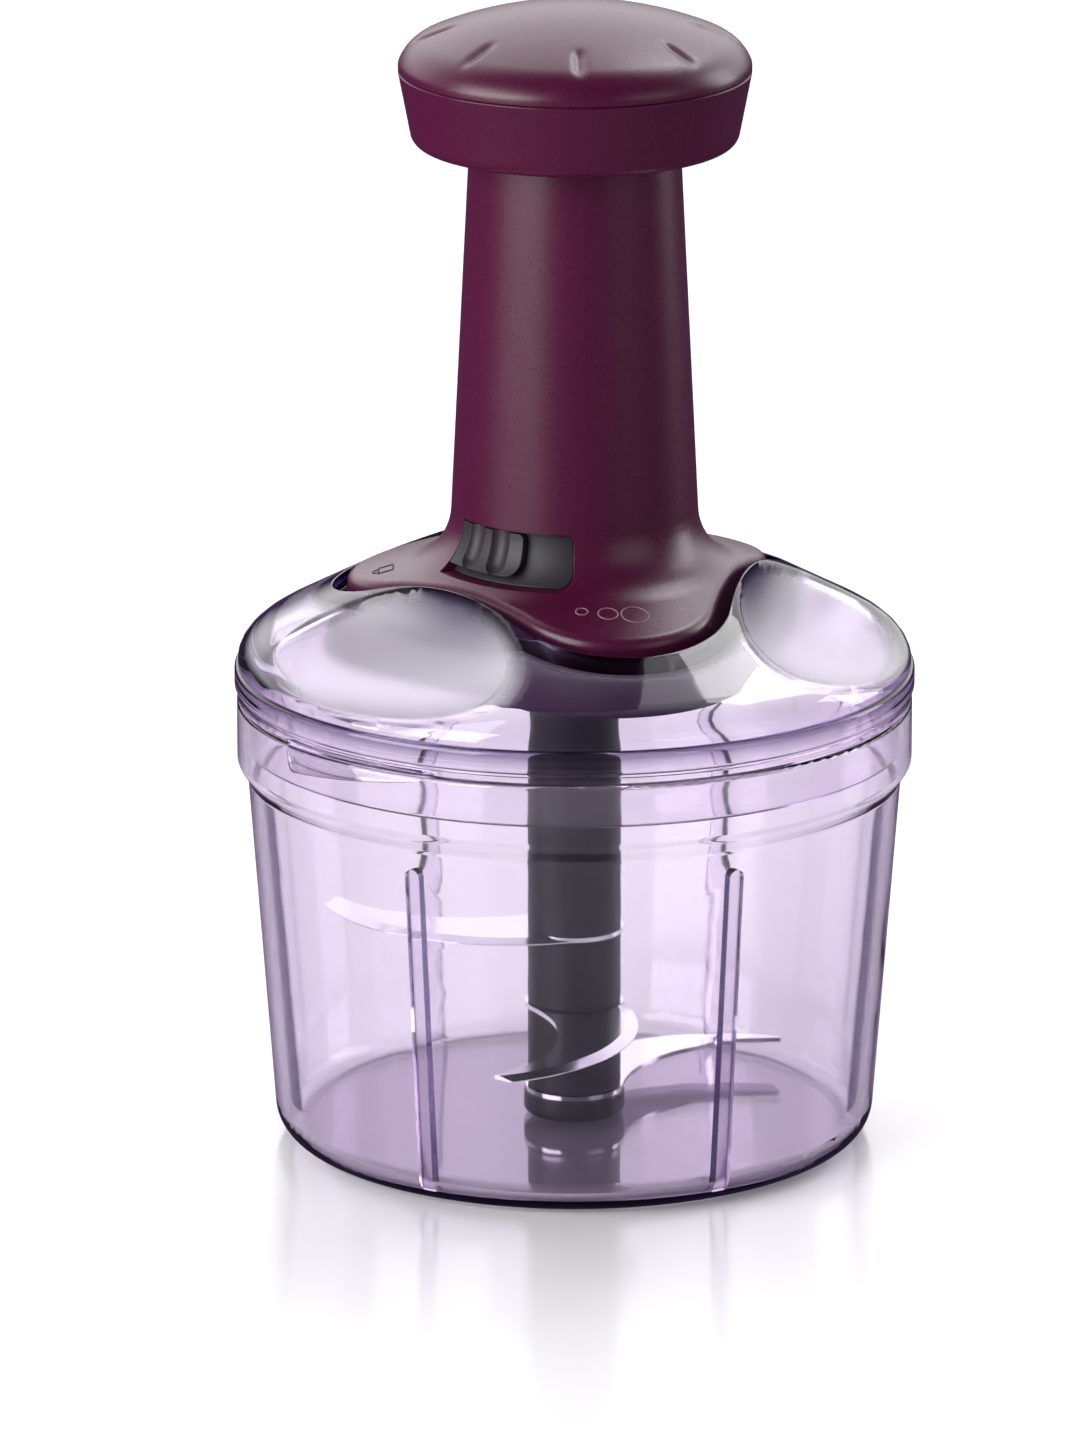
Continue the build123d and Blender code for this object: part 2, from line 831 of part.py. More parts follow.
def base_plate():
    """Lobed plate that closes the tower's foot and carries the bearing."""
    plate = lobed(-flare_wall - base_edge_gap, base_bottom, base_top)
    plate += disc(bearing_boss_radius, base_bottom, bearing_top)
    plate -= disc(bush_radius + snug_gap, base_bottom - cut_overrun, bearing_top + cut_overrun)
    return plate - screw_holes(base_bottom - cut_overrun, base_top + cut_overrun)


def base_screws():
    """Three screws from below through lid and base plate into the tower's bosses."""
    return screws(
        base_screw_radius,
        base_screw_length,
        base_screw_head_radius,
        base_screw_head_height,
        screw_circle,
        first_lobe_azimuth,
        pocket_bottom,
    )


def drive_bush():
    """Flanged bearing bush in the base plate."""
    bush = disc(bush_radius, base_bottom, bearing_top)
    bush += disc(bush_flange_radius, bearing_top, bush_top)
    bore = rod_journal_radius + running_gap
    return bush - disc(bore, base_bottom - cut_overrun, bush_top + cut_overrun)


def thrust_washer():
    """Washer that the rod's collar runs on."""
    return ring(washer_radius, rod_journal_radius + running_gap, bush_top, washer_top)


def spring_seat():
    """Washer round the bearing boss that the spring stands on."""
    return ring(seat_washer_radius, bearing_boss_radius + seat_gap, base_top, spring_bottom)


def return_spring():
    """Coil spring: one tube swept along biarcs of a helix."""
    start = spring_bottom + spring_wire_radius + seat_gap
    end = plunger_bottom - spring_wire_radius - seat_gap
    pitch = (end - start) / spring_turns
    tangent_rise = pitch / (2 * math.pi * spring_radius)

    def point(turn):
        return around(spring_radius, 360 * turn, start + pitch * turn)

    def tangent(turn):
        flat = around(1, 360 * turn + 90)
        return (flat + Vector(0, 0, tangent_rise)).normalized()

    edges = []
    for index in range(spring_turns * spring_arcs_per_turn):
        first_turn = index / spring_arcs_per_turn
        last_turn = (index + 1) / spring_arcs_per_turn
        first = point(first_turn)
        last = point(last_turn)
        first_way = tangent(first_turn)
        last_way = tangent(last_turn)
        reach = biarc_reach(last - first, first_way, last_way)
        joint = (first + last + (first_way - last_way) * reach) / 2
        first_arc = Edge.make_tangent_arc(first, first_way, joint)
        edges.append(first_arc)
        edges.append(Edge.make_tangent_arc(joint, first_arc % 1, last))
    path = Wire(edges)
    section = Plane(origin=path @ 0, z_dir=path % 0) * Circle(spring_wire_radius)
    print(f"return_spring least gap between turns {coil_gap(path):.2f} mm")
    return sweep(section, path=path)


def coil_gap(path):
    """Least gap between the spring's turns, measured on points of the wire's path."""
    count = spring_turns * spring_points_per_turn
    points = [path @ (index / count) for index in range(count + 1)]
    reach = min(
        (later - earlier).length
        for index, earlier in enumerate(points)
        for later in points[index + spring_points_per_turn // 2 :]
    )
    return reach - 2 * spring_wire_radius


def biarc_reach(span, first_way, last_way):
    """Length of the equal end tangents of the two arcs that bridge a span."""
    ways = first_way + last_way
    along = span.dot(ways)
    square = 2 * (1 - first_way.dot(last_way))
    return (-along + math.sqrt(along**2 + square * span.dot(span))) / square


# Press cap


def dome_form(inset):
    """Filled crown of the cap, an inset inside its outer surface, down to the seam."""
    top = Vector(0, cap_top_height - inset)
    shoulder = Vector(dome_crown_radius - inset, cap_top_height - dome_crown_drop - inset)
    rim = Vector(cap_radius - inset, seam_height + dome_edge_straight)
    crown = TangentArc(top, shoulder, tangent=(1, 0))
    edge = TangentArc(shoulder, rim, tangent=crown % 1)
    rest = Polyline(
        (rim.X, rim.Y),
        (cap_radius - inset, seam_height),
        (0, seam_height),
        (0, top.Y),
    )
    return turned(crown + edge + rest)


def dimples():
    """Small pressed dimples near the crown's edge, each lying along a radius."""
    egg = scale(Sphere(1), by=(dimple_half_length, dimple_half_width, dimple_half_depth))
    slope = math.degrees(math.atan2(dome_crown_drop, dome_crown_radius))
    share = dimple_circle / dome_crown_radius
    height = cap_top_height - dome_crown_drop * share**2
    placed = Pos(dimple_circle, 0, height) * Rot(0, slope, 0) * egg
    step = 360 / dimple_count
    group = [Rot(0, 0, dimple_azimuth + step * index) * placed for index in range(dimple_count)]
    return group[0].fuse(*group[1:])


def cap_dome():
    """Plum crown with its dimples, a spigot for the skirt and bosses for the screws."""
    hollow = dome_form(dome_wall)
    shell = dome_form(0) - hollow - dimples()
    spigot_radius = cap_radius - skirt_wall - snug_gap
    spigot_bore = spigot_radius - spigot_wall
    root_radius = cap_radius - dome_wall / 2
    shell += ring(spigot_radius, spigot_bore, seam_height - spigot_height, seam_height)
    shell += ring(root_radius, spigot_bore, seam_height, seam_height + dome_edge_straight)
    boss = disc(cap_boss_radius, plunger_roof_top, cap_top_height)
    hole_top = plunger_roof_height + cap_screw_length + seat_gap
    hole = disc(cap_screw_radius + running_gap, plunger_roof_top - cut_overrun, hole_top)
    filled = dome_form(dome_wall / 2)
    for index in range(lobe_count):
        spot = Pos(*around(cap_screw_circle, 360 / lobe_count * index))
        shell += (spot * boss) & filled
        shell -= spot * hole
    return shell


def cap_skirt():
    """Plum lower ring of the cap, drawn in below to pass the tower."""
    seam = seam_height - snug_gap
    outside = FilletPolyline(
        (cap_radius - seam_groove, seam),
        (cap_radius, seam - seam_groove),
        (skirt_bottom_radius, skirt_bottom_height),
        (skirt_mouth_radius, skirt_bottom_height),
        radius=[seam_round, skirt_round],
    )
    inner_foot = skirt_bottom_height + skirt_wall
    inside = Polyline(
        (skirt_mouth_radius, skirt_bottom_height),
        (skirt_mouth_radius, inner_foot),
        (skirt_bottom_radius - skirt_round, inner_foot),
        (cap_radius - skirt_wall, seam_height - spigot_height - seat_gap),
        (cap_radius - skirt_wall, seam),
        (cap_radius - seam_groove, seam),
    )
    return turned(outside + inside)


def plunger_tube():
    """Tube under the cap: roof with screw holes, two keys, stop flange and nut seat."""
    tube = disc(plunger_radius, plunger_bottom, plunger_roof_top)
    keys = Box(
        2 * (plunger_radius + plunger_key_height),
        plunger_key_width,
        plunger_roof_height - plunger_stop_top,
    )
    tube += Pos(0, 0, (plunger_roof_height + plunger_stop_top) / 2) * keys
    tube += disc(plunger_stop_radius, plunger_bottom, plunger_stop_top)
    tube -= disc(plunger_bore_radius, plunger_bottom - cut_overrun, plunger_roof_height)
    tube -= disc(nut_radius, plunger_bottom - cut_overrun, nut_top)
    hole_bottom = plunger_roof_height - cut_overrun
    hole = disc(cap_screw_radius + snug_gap, hole_bottom, plunger_roof_top + cut_overrun)
    for index in range(lobe_count):
        tube -= Pos(*around(cap_screw_circle, 360 / lobe_count * index)) * hole
    side_gap = math.degrees(slip_gap / plunger_stop_radius)
    notch = sector(
        latch_lip_inner_radius - slip_gap,
        plunger_stop_radius + cut_overrun,
        slider_start_azimuth - side_gap,
        latch_angle + 2 * side_gap,
        plunger_bottom - cut_overrun,
        plunger_stop_top + cut_overrun,
    )
    return tube - notch


def cap_screws():
    """Three screws up through the plunger's roof into the dome's bosses."""
    return screws(
        cap_screw_radius,
        cap_screw_length,
        cap_screw_head_radius,
        cap_screw_head_height,
        cap_screw_circle,
        0,
        plunger_roof_height,
    )


def guide_sleeve():
    """Sleeve in the tower's mouth with two keyways for the plunger."""
    mouth = tower_radius(tower_top_height) - tower_wall - guide_flange_gap
    sleeve = disc(plunger_stop_radius, guide_bottom, tower_top_height)
    sleeve += disc(mouth, tower_top_height - guide_flange_height, tower_top_height)
    low = guide_bottom - cut_overrun
    high = tower_top_height + cut_overrun
    sleeve -= disc(plunger_radius + running_gap, low, high)
    keyways = Box(
        2 * (plunger_radius + plunger_key_height + slip_gap),
        plunger_key_width + 2 * slip_gap,
        high - low,
    )
    return sleeve - Pos(0, 0, (high + low) / 2) * keyways


def drive_nut():
    """Nut at the foot of the plunger, with a twisted slot for the rod."""
    nut = disc(nut_radius - snug_gap, nut_bottom, nut_top)
    slot = twisted_bar(
        rod_width + 2 * slip_gap,
        rod_thickness + 2 * slip_gap,
        nut_bottom - cut_overrun,
        nut_top + cut_overrun,
    )
    return nut - slot


def nut_ring():
    """Ring below the nut that the spring presses on."""
    return ring(nut_radius - snug_gap, nut_ring_bore, plunger_bottom, nut_bottom)


# Drive


def drive_rod():
    """Twisted flat bar with a collar, a journal and a spigot below."""
    rod = twisted_bar(rod_width, rod_thickness, rod_collar_top, rod_top_height)
    rod += disc(rod_collar_radius, rod_collar_bottom, rod_collar_top)
    rod += disc(rod_journal_radius, coupling_top, rod_collar_bottom)
    rod += disc(rod_spigot_radius, rod_bottom, coupling_top)
    return rod - cross_hole(0)


def drive_coupling():
    """Hexagonal driver that hangs into the stem's socket."""
    coupling = disc(coupling_head_radius, coupling_head_bottom, coupling_top)
    coupling += hexagon(coupling_flats, coupling_bottom, coupling_head_bottom)
    bore = rod_spigot_radius + running_gap
    coupling -= disc(bore, rod_bottom - seat_gap, coupling_top + cut_overrun)
    return coupling - cross_hole(0)


def cross_hole(shrink):
    """Bar along X through the coupling's head at the height of its pin."""
    bar = Rot(0, 90, 0) * Cylinder(coupling_pin_radius - shrink, 2 * coupling_head_radius)
    return Pos(0, 0, coupling_pin_height) * bar


def coupling_pin():
    """Cross pin that fastens the coupling to the rod."""
    inside = disc(coupling_head_radius - snug_gap, coupling_head_bottom, coupling_top)
    return cross_hole(running_gap) & inside


# Lock


def lock_track():
    """Curved panel in the lock's opening, with a flange behind and the arm's slot."""
    panel = flare_form(-track_recess, base_bottom) & lock_window(-snug_gap)
    panel -= disc(track_flange_outer - track_flange_thickness / 2, base_bottom, tower_top_height)
    flange = sector(
        track_flange_inner,
        track_flange_outer,
        window_start_azimuth - track_flange_angle,
        window_end_azimuth - window_start_azimuth + 2 * track_flange_angle,
        window_bottom - track_flange_height,
        window_top + track_flange_height,
    )
    slot = sector(
        track_flange_inner - cut_overrun,
        lobe_tip_radius,
        arm_start_azimuth - arm_gap_angle,
        lock_angle + latch_arm_angle + 2 * arm_gap_angle,
        latch_arm_bottom - slip_gap,
        latch_arm_top + slip_gap,
    )
    return panel + flange - slot


def lock_slider():
    """Slider with two finger grooves, an arm through the track and the latch inside."""
    inner_offset = slip_gap - track_recess
    shell = flare_form(slider_proud, base_bottom)
    shell -= flare_form(inner_offset, base_bottom - cut_overrun)
    end_azimuth = slider_start_azimuth + slider_angle
    block = shell & lock_sector(slider_start_azimuth, end_azimuth, slider_bottom, slider_top)
    for azimuth in scallop_azimuths:
        block -= scallop(azimuth)
    latch_inner = latch_outer_radius - latch_thickness
    arm = sector(
        latch_inner,
        lobe_tip_radius,
        arm_start_azimuth,
        latch_arm_angle,
        latch_arm_bottom,
        latch_arm_top,
    )
    block += arm & flare_form((inner_offset + slider_proud) / 2, base_bottom)
    foot_height = window_bottom + latch_foot_rise
    for inner, low in ((latch_inner, foot_height), (latch_lip_inner_radius, latch_lip_bottom)):
        block += sector(
            inner, latch_outer_radius, slider_start_azimuth, latch_angle, low, latch_lip_top
        )
    return block


def scallop(azimuth):
    """Finger groove that follows the flare's round, open above and round below."""
    centre_radius, centre_height = flare_centre()
    reach = flare_round + scallop_depth - scallop_radius
    end_drop = centre_height - slider_bottom - scallop_end_rise
    end_angle = math.degrees(math.asin(end_drop / reach))
    path = Plane.XZ * CenterArc(
        (centre_radius, centre_height),
        reach,
        180 - scallop_start_angle,
        scallop_start_angle + end_angle,
    )
    section = Plane(origin=path @ 0, z_dir=path % 0) * Circle(scallop_radius)
    end = Pos(*(path @ 1)) * Sphere(scallop_radius)
    return Rot(0, 0, azimuth) * (sweep(section, path=path) + end)


def flare_centre():
    """Radius and height of the centre of the flare's round, in a section through the axis."""
    taper = math.atan2(tower_foot_radius - tower_top_radius, tower_top_height - flare_corner_height)
    turn = math.pi / 2 - taper - math.radians(flare_angle)
    start_height = flare_corner_height + flare_round * math.tan(turn / 2) * math.cos(taper)
    start_radius = tower_radius(start_height)
    return (
        start_radius + flare_round * math.cos(taper),
        start_height + flare_round * math.sin(taper),
    )


nodes = [
    bowl,
    bowl_pivot_pin,
    blade_stem,
    stem_foot,
    upper_blade,
    middle_blade,
    lower_blade,
    lower_spacer,
    upper_spacer,
    lid,
    tower_housing,
    base_plate,
    base_screws,
    drive_bush,
    thrust_washer,
    spring_seat,
    return_spring,
    cap_dome,
    cap_skirt,
    plunger_tube,
    cap_screws,
    guide_sleeve,
    drive_nut,
    nut_ring,
    drive_rod,
    drive_coupling,
    coupling_pin,
    lock_track,
    lock_slider,
]

os.makedirs("parts", exist_ok=True)
for node in nodes:
    export_step(node(), f"parts/{node.__name__}.step")
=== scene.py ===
"""Dressed scene of a push chopper: plum tower and press cap on a clear lavender lid and bowl."""

import logging
import math
from dataclasses import dataclass
from enum import Enum

import bpy
import numpy as np
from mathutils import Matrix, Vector


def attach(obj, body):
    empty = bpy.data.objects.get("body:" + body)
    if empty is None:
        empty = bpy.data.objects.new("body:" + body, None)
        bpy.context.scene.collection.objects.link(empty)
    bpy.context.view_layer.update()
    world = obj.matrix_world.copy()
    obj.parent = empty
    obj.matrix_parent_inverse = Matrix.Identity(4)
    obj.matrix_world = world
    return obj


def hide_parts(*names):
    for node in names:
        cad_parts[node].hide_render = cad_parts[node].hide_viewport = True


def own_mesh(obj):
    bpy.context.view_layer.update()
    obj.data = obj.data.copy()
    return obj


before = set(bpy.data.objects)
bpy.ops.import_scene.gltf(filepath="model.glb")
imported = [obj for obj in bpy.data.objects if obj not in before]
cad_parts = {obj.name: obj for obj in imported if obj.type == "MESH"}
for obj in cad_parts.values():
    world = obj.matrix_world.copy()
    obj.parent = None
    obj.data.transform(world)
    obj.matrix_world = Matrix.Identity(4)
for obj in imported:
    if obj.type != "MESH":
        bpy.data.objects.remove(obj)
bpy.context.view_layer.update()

LOG = logging.getLogger("chopper")
MM = 0.001
TURN = 2 * math.pi
FROST = "frost"
# Point attribute of the lid: strength of the painted shade along its thick edges.
EDGE_SHADE = "deep"
# Point attribute of the lid: strength of the painted shade on its pocket wall, dark plum where the foot
# shows through the shadowed gap.
POCKET_SHADE = "cast"

Colour = tuple[float, float, float]
Place = tuple[float, float, float]
Scale = tuple[float, float, float]
Socket = bpy.types.NodeSocket
WHITE: Colour = (1, 1, 1)


class Graph:
    """Adds and links the nodes of one tree."""

    def __init__(self, tree: bpy.types.NodeTree) -> None:
        """Keep the tree that the nodes go into."""
        self.tree = tree

    def add(self, kind: str, inputs: dict | None = None, **settings) -> bpy.types.Node:
        """Add a node to the tree.

        Args:
            kind: Blender's type name of the node.
            inputs: Input names or numbers, each with a value or the socket that feeds it.
            settings: Properties of the node, set before its inputs.

        Returns:
            The new node.
        """
        node = self.tree.nodes.new(kind)
        for name, value in settings.items():
            setattr(node, name, value)
        for key, value in (inputs or {}).items():
            if isinstance(value, Socket):
                self.tree.links.new(value, node.inputs[key])
            else:
                node.inputs[key].default_value = value
        return node

    def math(self, operation: str, *terms: float | Socket) -> Socket:
        """Add a calculation with numbers or sockets.

        Args:
            operation: Blender's name of the calculation, such as ADD.
            terms: One to three numbers or sockets.

        Returns:
            The socket with the result.
        """
        node = self.add("ShaderNodeMath", dict(enumerate(terms)), operation=operation)
        return node.outputs[0]


class Shader(Graph):
    """Material tree with one Principled shader that reads Object coordinates."""

    pattern_middle = (0.35, 0.65)

    def __init__(self, name: str, **sockets) -> None:
        """Start the material.

        Args:
            name: Name of the material.
            sockets: Plain values of the Principled shader, its spaces written as underscores.
        """
        self.material = bpy.data.materials.new(name)
        self.material.use_nodes = True
        super().__init__(self.material.node_tree)
        self.principled = self.tree.nodes["Principled BSDF"]
        for key, value in sockets.items():
            self.principled.inputs[key.replace("_", " ")].default_value = value
        self.place = self.add("ShaderNodeTexCoord").outputs["Object"]

    def noise(self, size_mm: float, stretch: Scale = (1, 1, 1), detail: float = 2.0) -> Socket:
        """Add a noise pattern.

        Args:
            size_mm: Size of its patches.
            stretch: Scale along X, Y and Z on top of the size.
            detail: Octaves of finer noise.

        Returns:
            The socket with the pattern, from 0 to 1.
        """
        mapped = self.add("ShaderNodeMapping", {"Vector": self.place, "Scale": stretch})
        inputs = {"Vector": mapped.outputs[0], "Scale": 1 / (size_mm * MM), "Detail": detail}
        return self.add("ShaderNodeTexNoise", inputs).outputs[0]

    def spread(self, pattern: Socket, low: float, high: float) -> Socket:
        """Map the middle of a pattern to a range of values.

        Args:
            pattern: Pattern from 0 to 1.
            low: Value at the lower end of its middle.
            high: Value at the upper end of its middle.

        Returns:
            The socket with the values.
        """
        start, end = self.pattern_middle
        inputs = {0: pattern, 1: start, 2: end, 3: low, 4: high}
        return self.add("ShaderNodeMapRange", inputs).outputs[0]

    def blend(self, pattern: Socket, first: Colour | Socket, second: Colour) -> Socket:
        """Mix two colours by a pattern.

        Args:
            pattern: Share of the second colour, from 0 to 1.
            first: First colour, or the socket that gives it.
            second: Second colour.

        Returns:
            The socket with the mixed colour.
        """
        start = first if isinstance(first, Socket) else (*first, 1)
        inputs = {"Factor": pattern, 6: start, 7: (*second, 1)}
        return self.add("ShaderNodeMix", inputs, data_type="RGBA").outputs[2]

    def bump(self, pattern: Socket, depth_mm: float, below: Socket | None = None) -> Socket:
        """Turn a pattern into a small relief of the surface.

        Args:
            pattern: Height, from 0 to 1.
            depth_mm: Depth of the relief.
            below: Normal of a relief underneath.

        Returns:
            The socket with the normal.
        """
        inputs = {"Height": pattern, "Distance": depth_mm * MM, "Strength": 1.0}
        if below is not None:
            inputs["Normal"] = below
        return self.add("ShaderNodeBump", inputs).outputs[0]

    def feed(self, socket: str, source: Socket) -> None:
        """Link a pattern to a socket of the Principled shader."""
        self.tree.links.new(source, self.principled.inputs[socket])


@dataclass(frozen=True)
class Moulding:
    """Opaque plastic with a fine moulded grain and softened edges."""

    name: str
    tone: Colour
    drift: Colour
    roughness: float
    grain_mm: float
    grain_depth_mm: float
    shine: float
    edge_mm: float = 0.35
    edge_samples: int = 4
    grain_detail: float = 3.0
    clouds_per_grain: float = 60.0
    polish_drift: tuple[float, float] = (-0.05, 0.07)

    def material(self) -> bpy.types.Material:
        """Build the material.

        Returns:
            The new material.
        """
        shade = Shader(self.name, Specular_IOR_Level=self.shine)
        grain = shade.noise(self.grain_mm, detail=self.grain_detail)
        clouds = shade.noise(self.grain_mm * self.clouds_per_grain)
        shade.feed("Base Color", shade.blend(clouds, self.tone, self.drift))
        low, high = (self.roughness + drift for drift in self.polish_drift)
        shade.feed("Roughness", shade.spread(grain, low, high))
        edge = shade.add("ShaderNodeBevel", {"Radius": self.edge_mm * MM}, samples=self.edge_samples)
        shade.feed("Normal", shade.bump(grain, self.grain_depth_mm, edge.outputs[0]))
        return shade.material


@dataclass(frozen=True)
class ClearMoulding:
    """Clear plastic that takes up colour along the way of the light through it."""

    name: str
    passed: Colour
    density: float
    roughness: float
    wave_mm: float
    wave_depth_mm: float
    # Colour of the painted shade along thick edges and rib flanks.
    deep_tone: Colour
    bending: float = 1.49
    wipe_share: float = 0.4
    polish_shares: tuple[float, float] = (0.6, 1.5)

    def work(self, shade: Shader, polish: Socket) -> None:
        """Feed the surface's own colour and polish.

        Args:
            shade: Tree of the material.
            polish: Roughness of the bare surface.
        """
        shade.feed("Roughness", polish)

    def material(self) -> bpy.types.Material:
        """Build the material.

        Returns:
            The new material.
        """
        shade = Shader(self.name, Base_Color=(*WHITE, 1), Transmission_Weight=1.0, IOR=self.bending)
        wipe = shade.noise(self.wave_mm * self.wipe_share)
        low, high = (self.roughness * share for share in self.polish_shares)
        self.work(shade, shade.spread(wipe, low, high))
        shade.feed("Normal", shade.bump(shade.noise(self.wave_mm), self.wave_depth_mm))
        inputs = {"Color": (*self.passed, 1), "Density": self.density}
        tint = shade.add("ShaderNodeVolumeAbsorption", inputs)
        output = shade.tree.nodes["Material Output"]
        shade.tree.links.new(tint.outputs[0], output.inputs["Volume"])
        return shade.material


@dataclass(frozen=True)
class RibbedMoulding(ClearMoulding):
    """Clear plastic of a bowl with painted shade along the flanks of its upright ribs."""

    rib_count: int = 6
    rib_width_mm: float = 3.4
    rib_depth_mm: float = 2.6
    flank_mm: float = 0.55
    wall_foot_mm: tuple[float, float] = (63.6, 3.0)
    wall_top_mm: tuple[float, float] = (69.8, 82.3)
    step_mm: float = 0.4

    def work(self, shade: Shader, polish: Socket) -> None:
        """Paint shade along the flanks of the ribs, which stand inside the wall's bore.

        Args:
            shade: Tree of the material.
            polish: Roughness of the bare surface.
        """
        super().work(shade, polish)
        x, y, z = shade.add("ShaderNodeSeparateXYZ", {0: shade.place}).outputs
        squares = shade.math("ADD", shade.math("POWER", x, 2.0), shade.math("POWER", y, 2.0))
        radius = shade.math("SQRT", squares)
        azimuth = shade.math("ARCTAN2", y, x)
        pitch = TURN / self.rib_count
        nearest = shade.math("ROUND", shade.math("DIVIDE", azimuth, pitch))
        past = shade.math("SUBTRACT", azimuth, shade.math("MULTIPLY", nearest, pitch))
        across = shade.math("MULTIPLY", shade.math("ABSOLUTE", past), radius)
        off = shade.math("ABSOLUTE", shade.math("SUBTRACT", across, self.rib_width_mm * MM / 2))
        flank = shade.add("ShaderNodeMapRange", {0: off, 1: 0.0, 2: self.flank_mm * MM, 3: 1.0, 4: 0.0})
        (low, bottom), (high, top) = self.wall_foot_mm, self.wall_top_mm
        slope = (high - low) / (top - bottom)
        wall = shade.math("MULTIPLY_ADD", z, slope, (low - slope * bottom) * MM)
        inside = shade.math("SUBTRACT", wall, radius)
        inputs = {0: inside, 1: self.step_mm * MM / 2, 2: self.step_mm * MM, 3: 0.0, 4: 1.0}
        standing = shade.add("ShaderNodeMapRange", inputs)
        reach = (self.rib_depth_mm + self.step_mm) * MM
        near = shade.math("LESS_THAN", inside, reach)
        # Painted shade: the rib flanks darken towards the edge shade tone.
        dark = shade.math("MULTIPLY", flank.outputs[0], shade.math("MULTIPLY", standing.outputs[0], near))
        shade.feed("Base Color", shade.blend(dark, WHITE, self.deep_tone))


@dataclass(frozen=True)
class DishedMoulding(ClearMoulding):
    """Clear plastic of a lid with frosted dishes, painted shade along its thick edges, and painted shade on
    its pocket wall in the colour of the plum foot seen through it.

    Each of these three follows an attribute of the lid.
    """

    frost_tone: Colour = (0.95, 0.90, 1.0)
    frost_roughness: float = 0.30
    frost_milk: float = 0.36
    # Painted shade on the pocket wall: its colour, how much of the light it stops, and how dull it makes
    # the surface.
    pocket_shade_tone: Colour = (0.055, 0.010, 0.070)
    pocket_shade_cover: float = 0.92
    pocket_shade_roughness: float = 0.55

    def work(self, shade: Shader, polish: Socket) -> None:
        """Frost the dishes, paint shade along the thick edges, and paint shade on the pocket's wall in the
        plum foot's colour.

        Args:
            shade: Tree of the material.
            polish: Roughness of the bare surface.
        """
        frost = shade.add("ShaderNodeAttribute", attribute_name=FROST).outputs["Fac"]
        # Painted shade along the thick edges, mixed into the base colour.
        deep = shade.add("ShaderNodeAttribute", attribute_name=EDGE_SHADE).outputs["Fac"]
        # Painted shade on the pocket wall: dark plum base colour, less light through, rougher surface.
        cast = shade.add("ShaderNodeAttribute", attribute_name=POCKET_SHADE).outputs["Fac"]
        tone = shade.blend(frost, WHITE, self.frost_tone)
        tone = shade.blend(deep, tone, self.deep_tone)
        shade.feed("Base Color", shade.blend(cast, tone, self.pocket_shade_tone))
        clear = shade.math("MULTIPLY_ADD", frost, -self.frost_milk, 1.0)
        shade.feed("Transmission Weight", shade.math("MULTIPLY_ADD", cast, -self.pocket_shade_cover, clear))
        dull = shade.math("MULTIPLY_ADD", cast, self.pocket_shade_roughness, polish)
        shade.feed("Roughness", shade.math("MULTIPLY_ADD", frost, self.frost_roughness, dull))


@dataclass(frozen=True)
class Steel:
    """Bare steel with fine drawn or ground lines."""

    name: str
    tone: Colour
    drift: Colour
    roughness: float
    line_mm: float
    stretch: Scale
    line_depth_mm: float
    line_detail: float = 3.0
    clouds_per_line: float = 40.0
    polish_shares: tuple[float, float] = (0.7, 1.4)

    def material(self) -> bpy.types.Material:
        """Build the material.

        Returns:
            The new material.
        """
        shade = Shader(self.name, Metallic=1.0)
        lines = shade.noise(self.line_mm, self.stretch, detail=self.line_detail)
        clouds = shade.noise(self.line_mm * self.clouds_per_line)
        shade.feed("Base Color", shade.blend(clouds, self.tone, self.drift))
        low, high = (self.roughness * share for share in self.polish_shares)
        shade.feed("Roughness", shade.spread(lines, low, high))
        shade.feed("Normal", shade.bump(lines, self.line_depth_mm))
        return shade.material


class Finish(Enum):
    """The finishes of the chopper's pieces."""

    PLUM = Moulding(
        "plum_soft_moulding", (0.060, 0.002, 0.024), (0.068, 0.003, 0.028),
        roughness=0.31, grain_mm=0.32, grain_depth_mm=0.02, shine=0.5,
    )
    GRAPHITE = Moulding(
        "graphite_moulding", (0.018, 0.016, 0.021), (0.023, 0.020, 0.027),
        roughness=0.46, grain_mm=0.25, grain_depth_mm=0.007, shine=0.4,
    )
    # Raised size rings: lighter plum that paints the highlight along their raised lines.
    HIGHLIT_RELIEF = Moulding(
        "raised_mark_painted_highlight", (0.22, 0.10, 0.15), (0.25, 0.12, 0.17),
        roughness=0.4, grain_mm=0.3, grain_depth_mm=0.01, shine=0.5, edge_mm=0.05,
    )
    MARK = Moulding(
        "sunk_mark", (0.012, 0.004, 0.008), (0.016, 0.006, 0.010),
        roughness=0.6, grain_mm=0.3, grain_depth_mm=0.01, shine=0.3, edge_mm=0.05,
    )
    BEARING = Moulding(
        "bearing_moulding", (0.72, 0.71, 0.66), (0.78, 0.77, 0.73),
        roughness=0.3, grain_mm=0.4, grain_depth_mm=0.008, shine=0.5,
    )
    # The edge shade tone paints shade along the rib flanks.
    BOWL = RibbedMoulding(
        "bowl_lavender", passed=(0.39, 0.16, 0.52), density=100.0, roughness=0.03,
        wave_mm=9.0, wave_depth_mm=0.012, deep_tone=(0.06, 0.03, 0.15),
    )
    # The edge shade tone paints shade along the lid's thick edges.
    LID = DishedMoulding(
        "lid_lavender", passed=(0.39, 0.16, 0.52), density=90.0, roughness=0.03,
        wave_mm=9.0, wave_depth_mm=0.012, deep_tone=(0.06, 0.03, 0.15),
    )
    BLADE = Steel(
        "ground_blade_steel", (0.80, 0.80, 0.82), (0.70, 0.70, 0.73),
        roughness=0.14, line_mm=0.25, stretch=(1, 1, 0.2), line_depth_mm=0.004,
    )
    DRAWN = Steel(
        "drawn_steel", (0.62, 0.62, 0.63), (0.52, 0.52, 0.54),
        roughness=0.3, line_mm=0.2, stretch=(1, 1, 0.1), line_depth_mm=0.006,
    )

    def material(self) -> bpy.types.Material:
        """Return this finish's material, built when it is first asked for."""
        return bpy.data.materials.get(self.value.name) or self.value.material()


